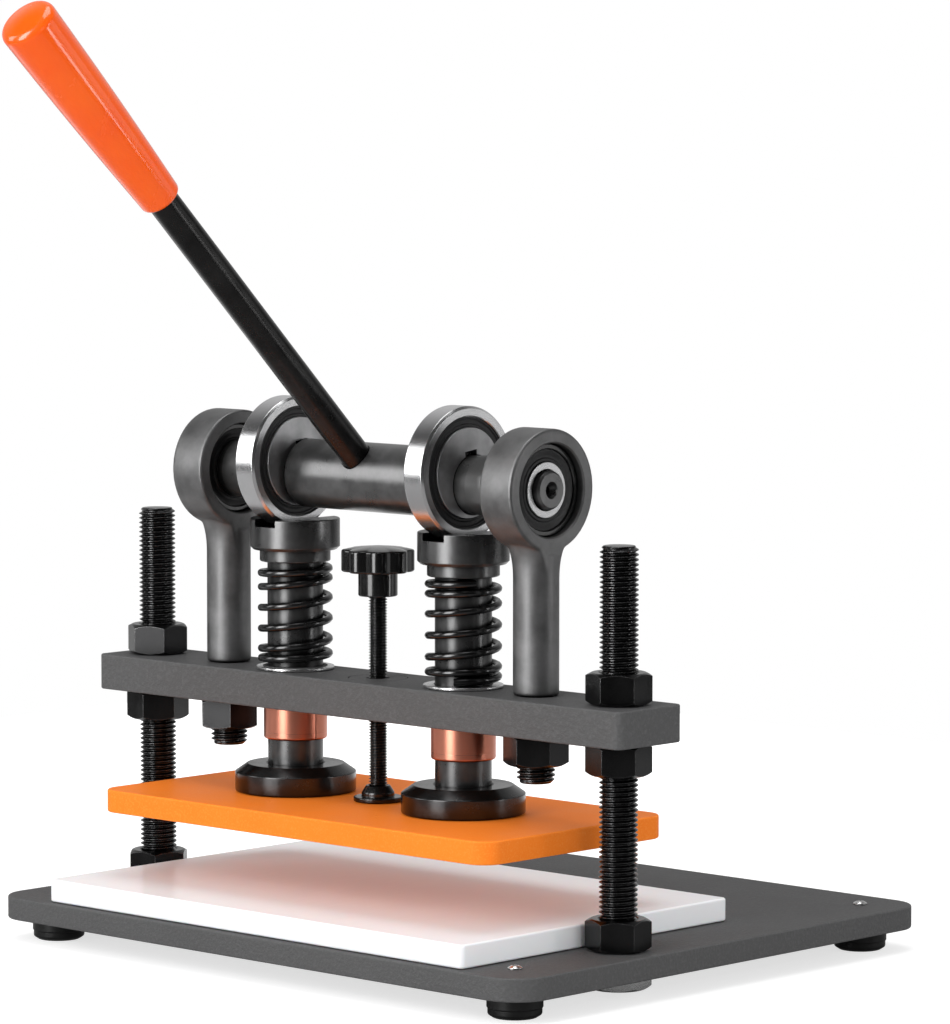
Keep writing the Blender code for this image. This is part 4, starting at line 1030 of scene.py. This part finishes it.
def camshaft_mesh(eye_x, cam_x):
    """The turned shaft with its keys, centre holes and the socket of the lever."""
    stub_end = eye_x - BEARING_WIDTH / 2 - FIT_GAP
    stub_start = cam_x + CAM_WIDTH / 2 + STUB_CAM_GAP
    tube_end = cam_x - CAM_WIDTH / 2 - TUBE_CAM_GAP
    shaft_end = eye_x + EYE_THICKNESS / 2 - SMALL
    centre_end = shaft_end - SHAFT_CENTRE_DEPTH
    drill = SHAFT_CENTRE_RADIUS * SHAFT_DRILL_SHARE
    cone_start, cone_end = (shaft_end - depth for depth in SHAFT_CENTRE_CONE)
    outline = mirrored(rounded([
        (0, centre_end),
        (drill, centre_end + SHAFT_CENTRE_TIP),
        (drill, cone_start),
        (SHAFT_CENTRE_RADIUS, cone_end),
        (SHAFT_CENTRE_RADIUS + SLIM, shaft_end, FINE),
        (SHAFT_END_RADIUS - SHAFT_END_CHAMFER, shaft_end, FINE),
        (SHAFT_END_RADIUS, shaft_end - SHAFT_END_CHAMFER, FINE),
        (SHAFT_END_RADIUS, stub_end),
        (STUB_RADIUS, stub_end, SOFT),
        (STUB_RADIUS, stub_start, FINE),
        (JOURNAL_RADIUS, stub_start),
        (JOURNAL_RADIUS, tube_end),
        (TUBE_RADIUS, tube_end, BROAD),
        (TUBE_RADIUS, 0),
    ])[:-1])
    key_top = JOURNAL_RADIUS + KEY_RISE
    key = boxed("key", (KEY_LENGTH, KEY_WIDTH, key_top), (0, 0, key_top / 2), EASY)
    tools = [("UNION", key, (side * cam_x, 0, 0), (KEY_LEAN, 0, 0)) for side in SIDES.values()]
    reach = TUBE_RADIUS + OVERRUN
    hole = lathe("lever_hole", [
        (0, reach),
        (LEVER_RADIUS + BROAD, reach),
        (LEVER_RADIUS + FIT_GAP, TUBE_RADIUS - EASY),
        (LEVER_RADIUS + FIT_GAP, SMALL),
        (0, SMALL),
    ])
    tools.append(("DIFFERENCE", hole, (-LEVER_OFFSET, 0, 0), (LEVER_LEAN, 0, 0)))
    return combined(lathe("camshaft_fine", outline, FINE_STEPS, "X"), tools)


def cam_mesh(axis):
    """An eccentric disc about its own centre, bored and slotted for the shaft and its key."""
    half = CAM_WIDTH / 2
    disc = wheel("cam_fine", [(0, half), (CAM_RADIUS, half, SLIM)])
    bore_radius = JOURNAL_RADIUS + FIT_GAP
    bore = lathe("cam_bore", mirrored([
        (0, half + OVERRUN),
        (bore_radius + OVERRUN + SLIM, half + OVERRUN),
        (bore_radius, half - SLIM),
    ]), FINE_STEPS, "X")
    slot_top = bore_radius + KEY_RISE
    slot = boxed("slot", (2 * CAM_WIDTH, KEY_WIDTH + 2 * FIT_GAP, slot_top), (0, 0, slot_top / 2))
    return combined(disc, [("DIFFERENCE", bore, axis), ("DIFFERENCE", slot, axis, (KEY_LEAN, 0, 0))])


def build_camshaft():
    """Camshaft, cams and the roller bearings on the cams."""
    centre = shaft_centre()
    roller = middle_of("roller_ring_right")
    shaft = camshaft_mesh(middle_of("eye_bearing_hub_right").x, roller.x)
    add_piece("camshaft", shaft, "shaft_steel", "lever", centre)
    cam = cam_mesh((0, centre.y - roller.y, centre.z - roller.z))
    half = ROLLER_WIDTH / 2
    inner = ROLLER_RADIUS - ROLLER_LIP
    ring = wheel("roller_ring_fine", [
        (inner, half - SMALL),
        (inner + SMALL, half),
        (ROLLER_RADIUS - ROLLER_EDGE, half, SLIM),
        (ROLLER_RADIUS, half - ROLLER_EDGE, SMALL),
    ], 2 * FINE_STEPS)
    face = half - SEAL_RECESS
    seal = wheel("roller_seal_fine", [
        (CAM_RADIUS + FIT_GAP, face),
        (CAM_RADIUS + CAM_SEAL_RIM, face, FINE),
        (CAM_RADIUS + CAM_SEAL_RIM + SLIM, face - SMALL, FINE),
        (inner - ROLLER_SEAL_RIM - EASY, face - SMALL, FINE),
        (inner - ROLLER_SEAL_RIM, face, FINE),
        (inner - FIT_GAP, face),
    ])
    for name in SIDES:
        place = middle_of(f"roller_ring_{name}")
        add_piece(f"cam_{name}", cam, "ground_steel", "lever", place)
        add_piece(f"roller_ring_{name}", ring, "bearing_steel", f"roller_{name}", place)
        add_piece(f"roller_seal_{name}", seal, "seal", f"roller_{name}", place)


def build_lever():
    """The lever rod and its moulded grip, about the lever's own axis."""
    place = shaft_centre(-LEVER_OFFSET)
    lean = Matrix.Rotation(LEVER_LEAN, 4, "X")
    rod_top = GRIP_START + GRIP_SOCKET_DEPTH - FIT_GAP
    rod = lathe("lever_rod_fine", rounded([
        (0, rod_top),
        (LEVER_RADIUS, rod_top, EASY),
        (LEVER_RADIUS, PLAIN, CRISP),
        (LEVER_RADIUS - CRISP, SOFT),
        (0, SOFT),
    ]), SMALL_STEPS)
    rod.transform(lean)
    add_piece("lever_rod", rod, "lever_black", "lever", place)
    top = GRIP_LENGTH - GRIP_DOME - GRIP_HEAD_ROUND
    side = []
    for step in range(1, CORNER_STEPS):
        share = step / CORNER_STEPS
        taper = GRIP_HEAD_RADIUS + (GRIP_NECK_RADIUS - GRIP_HEAD_RADIUS) * share
        side.append((taper + GRIP_BULGE * math.sin(math.pi * share), top + (GRIP_NECK_ROUND - top) * share))
    flat = GRIP_HEAD_RADIUS - GRIP_HEAD_ROUND
    crown = []
    for step in range(GRIP_CROWN_STEPS):
        share = step / GRIP_CROWN_STEPS
        crown.append((flat * share, GRIP_LENGTH - GRIP_DOME * share ** 2))
    head = arc((flat, top), GRIP_HEAD_ROUND, QUARTER_TURN, 0, GRIP_HEAD_STEPS)
    neck_centre = (GRIP_NECK_RADIUS - GRIP_NECK_ROUND, GRIP_NECK_ROUND)
    neck = arc(neck_centre, GRIP_NECK_ROUND, 0, -QUARTER_TURN, GRIP_NECK_STEPS)
    socket = LEVER_RADIUS + FIT_GAP / 2
    inside = [(socket + SLIM, 0), (socket, SLIM), (socket, GRIP_SOCKET_DEPTH), (0, GRIP_SOCKET_DEPTH)]
    outline = [(radius, GRIP_START + along) for radius, along in [*crown, *head, *side, *neck, *inside]]
    grip = lathe("lever_grip_fine", outline, FINE_STEPS)
    grip.transform(lean)
    add_piece("lever_grip", grip, "orange_plastic", "lever", place)


def cap_mesh(height):
    """A follower cap on z = 0: collar, disc with chamfered edges, and the roller's groove on top."""
    inner = PLUNGER_RADIUS + FIT_GAP
    cap = lathe("follower_cap_fine", rounded([
        (0, height),
        (CAP_RADIUS, height, SOFT),
        (CAP_RADIUS, COLLAR_HEIGHT + CAP_CHAMFER, SLIM),
        (CAP_RADIUS - CAP_CHAMFER, COLLAR_HEIGHT, SLIM),
        (COLLAR_RADIUS, COLLAR_HEIGHT),
        (COLLAR_RADIUS, 0, SOFT),
        (inner, 0),
        (inner, CAP_SOCKET_DEPTH),
        (0, CAP_SOCKET_DEPTH),
    ]), FINE_STEPS)
    groove_size = (ROLLER_WIDTH + CAP_GROOVE_PLAY, 3 * CAP_RADIUS, 2 * CAP_GROOVE_DEPTH)
    return combined(cap, [("DIFFERENCE", boxed("groove", groove_size, (0, 0, height)))])


def pressing_plate_mesh():
    """The pressing plate with its two pin holes, countersunk from below for its screws."""
    thickness = size_of("pressing_plate")[2]
    pins = [(side * PIN_HOLE_X, -PIN_HOLE_Y, PIN_HOLE_RADIUS) for side in SIDES.values()]
    plate = slab("pressing_plate", PLATE_CORNER, PLATE_EDGE)
    plate = drilled(plate, pins, thickness + OVERRUN, thickness - PIN_HOLE_DEPTH, TINY_STEPS)
    mouth = PLATE_SCREW_HEAD_RADIUS + FIT_GAP
    sink = lathe("sink", [
        (0, PLATE_SINK_DEPTH),
        (PLATE_SINK_RADIUS, PLATE_SINK_DEPTH),
        (PLATE_SINK_RADIUS, PLATE_SCREW_HEAD_DEPTH),
        (mouth, SOFT),
        (mouth, -OVERRUN),
        (0, -OVERRUN),
    ])
    plunger_x = middle_of("plunger_right").x
    return combined(plate, [("DIFFERENCE", sink, (side * plunger_x, 0, 0)) for side in SIDES.values()])


def build_pressing_set():
    """Caps, plungers, pads and the pressing plate with its screws."""
    cap = cap_mesh(size_of("follower_cap_left")[2])
    length = size_of("plunger_left")[2]
    plunger = lathe("plunger_fine", rounded([
        (0, length), (PLUNGER_RADIUS, length, EASY), (PLUNGER_RADIUS, 0), (0, 0),
    ]), FINE_STEPS)
    thick = size_of("pressure_pad_left")[2]
    pad = lathe("pressure_pad_fine", rounded([
        (PLUNGER_RADIUS + FIT_GAP, thick - SOFT),
        (PLUNGER_RADIUS + PAD_LEAD, thick),
        (PAD_RADIUS - PAD_CHAMFER_WIDTH, thick, PAD_ROUND),
        (PAD_RADIUS, thick - PAD_CHAMFER_HEIGHT, PAD_ROUND),
        (PAD_RADIUS, 0, SOFT),
        (PLUNGER_RADIUS - PAD_STEP, 0),
        (PLUNGER_RADIUS - PAD_STEP, PAD_STEP),
        (PLUNGER_RADIUS + FIT_GAP, PAD_STEP),
    ]), FINE_STEPS)
    plate = pressing_plate_mesh()
    add_piece("pressing_plate", plate, "orange_paint", "press", standing("pressing_plate"))
    head = PLATE_SCREW_HEAD_RADIUS
    screw = lathe("plate_screw_fine", rounded([
        (0, PLATE_SCREW_LENGTH),
        (PLATE_SCREW_RADIUS, PLATE_SCREW_LENGTH),
        (PLATE_SCREW_RADIUS, PLATE_SCREW_HEAD_DEPTH),
        (head, EASY, CRISP),
        (head, 0, CRISP),
        (0, 0),
    ]), SMALL_STEPS)
    hexagon = lathe("hexagon", [
        (0, HEXAGON_DEPTH), (HEXAGON_RADIUS, HEXAGON_DEPTH), (HEXAGON_RADIUS, -OVERRUN), (0, -OVERRUN),
    ], NUT_SIDES)
    screw = combined(screw, [("DIFFERENCE", hexagon)])
    kinds = (
        ("follower_cap", cap, "dark_steel"),
        ("plunger", plunger, "dark_steel"),
        ("pressure_pad", pad, "gloss_black"),
        ("plate_screw", screw, "zinc"),
    )
    for name in SIDES:
        for kind, mesh, look in kinds:
            piece = f"{kind}_{name}"
            add_piece(piece, mesh, look, "press", standing(f"plunger_{name}", piece))


def spring_climb(turns, open_pitch):
    """Height of the wire after some turns from a closed end, as far as the middle of the spring."""
    closed = min(turns, SPRING_CLOSED_TURNS)
    blended = min(max(turns - SPRING_CLOSED_TURNS, 0), SPRING_BLEND_TURNS)
    opened = max(turns - SPRING_CLOSED_TURNS - SPRING_BLEND_TURNS, 0)
    gain = (open_pitch - SPRING_CLOSED_PITCH) * blended ** 2 / (2 * SPRING_BLEND_TURNS)
    return SPRING_CLOSED_PITCH * (closed + blended) + gain + open_pitch * opened


def spring_mesh(name, low, high, start):
    """A right-hand compression spring of round wire with closed ends, between two levels."""
    bottom = low + SPRING_WIRE_RADIUS
    height = high - SPRING_WIRE_RADIUS - bottom
    half_turns = SPRING_TURNS / 2
    shallow = spring_climb(half_turns, 0)
    open_pitch = (height / 2 - shallow) / (spring_climb(half_turns, 1) - shallow)
    count = round(SPRING_TURNS * SPRING_STEPS_PER_TURN)
    line = []
    for index in range(count + 1):
        turns = SPRING_TURNS * index / count
        if turns <= half_turns:
            level = bottom + spring_climb(turns, open_pitch)
        else:
            level = bottom + height - spring_climb(SPRING_TURNS - turns, open_pitch)
        turn = start + FULL_TURN * turns
        line.append(Vector((SPRING_RADIUS * math.cos(turn), SPRING_RADIUS * math.sin(turn), level)))
    rows = []
    for index, point in enumerate(line):
        ahead = (line[min(index + 1, count)] - line[max(index - 1, 0)]).normalized()
        up = ahead.cross(Vector((point.x, point.y, 0)).normalized()).normalized()
        out = up.cross(ahead)
        row = []
        for step in range(SPRING_WIRE_STEPS):
            spin = FULL_TURN * step / SPRING_WIRE_STEPS
            row.append(point + (out * math.cos(spin) + up * math.sin(spin)) * SPRING_WIRE_RADIUS)
        rows.append(row)
    return skin(name, rows)


def build_springs():
    """The return springs, which stretch between the head and the pressing set."""
    for name in SIDES:
        low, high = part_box(f"spring_{name}")
        spot = middle_of(f"plunger_{name}")
        mesh = spring_mesh(f"spring_{name}_fine", low.z, high.z, SPRING_START[name])
        mesh.materials.append(looks["gloss_black"])
        piece = bare(f"spring_{name}_fine", mesh, (spot.x, spot.y, 0))
        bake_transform(piece)
        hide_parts(f"spring_{name}")


def knob_mesh():
    """The star knob on z = 0: a round hub under a lobed rim with a low crown."""
    count = KNOB_LOBES * KNOB_STEPS_PER_LOBE
    turns = [FULL_TURN * index / count for index in range(count)]
    lobes = [((1 + math.cos(KNOB_LOBES * turn)) / 2) ** KNOB_LOBE_FULLNESS for turn in turns]
    rim = [KNOB_WAIST_RADIUS + (KNOB_RADIUS - KNOB_WAIST_RADIUS) * lobe for lobe in lobes]
    rim_top = KNOB_HUB_HEIGHT + KNOB_RIM_HEIGHT
    hub = (
        (KNOB_HUB_RADIUS - FINE, 0),
        (KNOB_HUB_RADIUS, EASY),
        (KNOB_HUB_RADIUS, KNOB_HUB_HEIGHT - SOFT),
        (KNOB_HUB_RADIUS + SOFT, KNOB_HUB_HEIGHT),
    )
    rings = [([radius] * count, level) for radius, level in hub]
    for middle, start in ((KNOB_HUB_HEIGHT + KNOB_ROUND, -QUARTER_TURN), (rim_top - KNOB_ROUND, 0)):
        for inset, level in arc((0, 0), KNOB_ROUND, start, start + QUARTER_TURN, KNOB_ROUND_STEPS):
            rings.append(([radius - KNOB_ROUND + inset for radius in rim], middle + level))
    for reach, rise in KNOB_CROWN_SHARES:
        radii = [KNOB_WAIST_RADIUS * reach + (radius - KNOB_WAIST_RADIUS) * reach ** 2 for radius in rim]
        rings.append((radii, rim_top + KNOB_CROWN * rise))
    return skin("star_knob_fine", [ring_of(radii, turns, [level] * count) for radii, level in rings])


def build_screw():
    """The threaded adjusting screw, its star knob and its swivel foot."""
    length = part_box("star_knob")[0].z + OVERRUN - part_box("adjusting_screw")[0].z
    screw = threaded("adjusting_screw_fine", SCREW_RADIUS, SCREW_PITCH, length, BROAD)
    width, _, height = size_of("swivel_foot")
    bore = SCREW_RADIUS + FIT_GAP
    foot = lathe("swivel_foot_fine", rounded([
        (bore, height * SWIVEL_SOCKET_SHARE),
        (bore, height),
        (SWIVEL_NECK_RADIUS, height, SMALL),
        (SWIVEL_DOME_RADIUS, height * SWIVEL_DOME_SHARE, SWIVEL_DOME_ROUND),
        (SWIVEL_DOME_RADIUS, SWIVEL_RIM, SLIM),
        (width / 2, SWIVEL_RIM, EASY),
        (width / 2, 0, SMALL),
        (bore, 0),
    ]), FINE_STEPS)
    kinds = (
        ("adjusting_screw", screw, "black_oxide", "screw"),
        ("star_knob", knob_mesh(), "black_plastic", "screw"),
        ("swivel_foot", foot, "gloss_black", "screw_foot"),
    )
    for name, mesh, look, body in kinds:
        add_piece(name, mesh, look, body, standing("adjusting_screw", name))


def build_floor():
    """A pale floor that keeps the shadow and glows white to the camera."""
    bm = bmesh.new()
    bmesh.ops.create_grid(bm, x_segments=1, y_segments=1, size=FLOOR_SIZE / 2)
    floor = bare("floor", mesh_from("floor", bm), (0, 0, FLOOR_LEVEL))
    made, tree, shader, where = new_look("floor_white")
    rays = node(tree, "LightPath").outputs
    seen = calculated(tree, "MAXIMUM", rays["Is Camera Ray"], rays["Is Glossy Ray"])
    seen = calculated(tree, "MAXIMUM", seen, rays["Is Transmission Ray"])
    glow = ranged(tree, length_of(tree, where), *FLOOR_REACH, *FLOOR_LIFT)
    behind = dotted(tree, where, BACKDROP_SIDE)
    mirrored_share = ranged(tree, behind, *FLOOR_SPREAD, DARK_SIDE_LEVEL, 1.0)
    share = ranged(tree, rays["Is Glossy Ray"], 0, 1, 1.0, mirrored_share)
    lift = calculated(tree, "MULTIPLY", seen, calculated(tree, "MULTIPLY", glow, share))
    feed(
        tree, shader,
        Base_Color=mixed(tree, rays["Is Glossy Ray"], FLOOR_WHITE, FLOOR_MIRRORED),
        Roughness=FLOOR_ROUGHNESS,
        Specular_IOR_Level=0.0,
        Emission_Color=(1, 1, 1, 1),
        Emission_Strength=lift,
    )
    floor.data.materials.append(made)


def build_world():
    """A plain world: white to the camera, soft for light, dark to bright in mirrors."""
    world = bpy.data.worlds.new("studio")
    bpy.context.scene.world = world
    world.use_nodes = True
    tree = world.node_tree
    rays = node(tree, "LightPath").outputs
    seen = calculated(tree, "MAXIMUM", rays["Is Camera Ray"], rays["Is Transmission Ray"])
    behind = dotted(tree, node(tree, "TexCoord").outputs["Generated"], BACKDROP_SIDE)
    glossy = ranged(tree, behind, *BACKDROP_SPREAD, DARK_SIDE_LEVEL, BRIGHT_SIDE_LEVEL)
    level = ranged(tree, rays["Is Glossy Ray"], 0, 1, WORLD_LEVEL, glossy)
    strength = ranged(tree, seen, 0, 1, level, 1.0)
    feed(tree, tree.nodes["Background"], Color=(1, 1, 1, 1), Strength=strength)


def build_stage():
    """Floor, world, soft lamps and the camera."""
    scene = bpy.context.scene
    scene.view_settings.view_transform = "Standard"
    build_floor()
    build_world()
    for name, (place, width, height, power) in {**AREA_LIGHTS, **FILL_LIGHTS}.items():
        lamp = bpy.data.lights.new(name, "AREA")
        lamp.shape = "RECTANGLE"
        lamp.size = width
        lamp.size_y = height
        lamp.energy = power
        made = bare(name, lamp, place)
        made.visible_glossy = name in AREA_LIGHTS
        made.visible_diffuse = name != "key"
        made.rotation_euler = (Vector(AIM) - Vector(place)).to_track_quat("-Z", "Y").to_euler()
    camera = bpy.data.cameras.new("camera")
    camera.lens = CAMERA_LENS
    camera.clip_end = CAMERA_REACH
    scene.camera = bare("camera", camera, CAMERA_PLACE, CAMERA_TURN)


def main():
    make_looks()
    build_base()
    build_rods()
    build_board()
    build_crossbar()
    build_eyes()
    build_camshaft()
    build_lever()
    build_pressing_set()
    build_springs()
    build_screw()
    build_stage()


main()
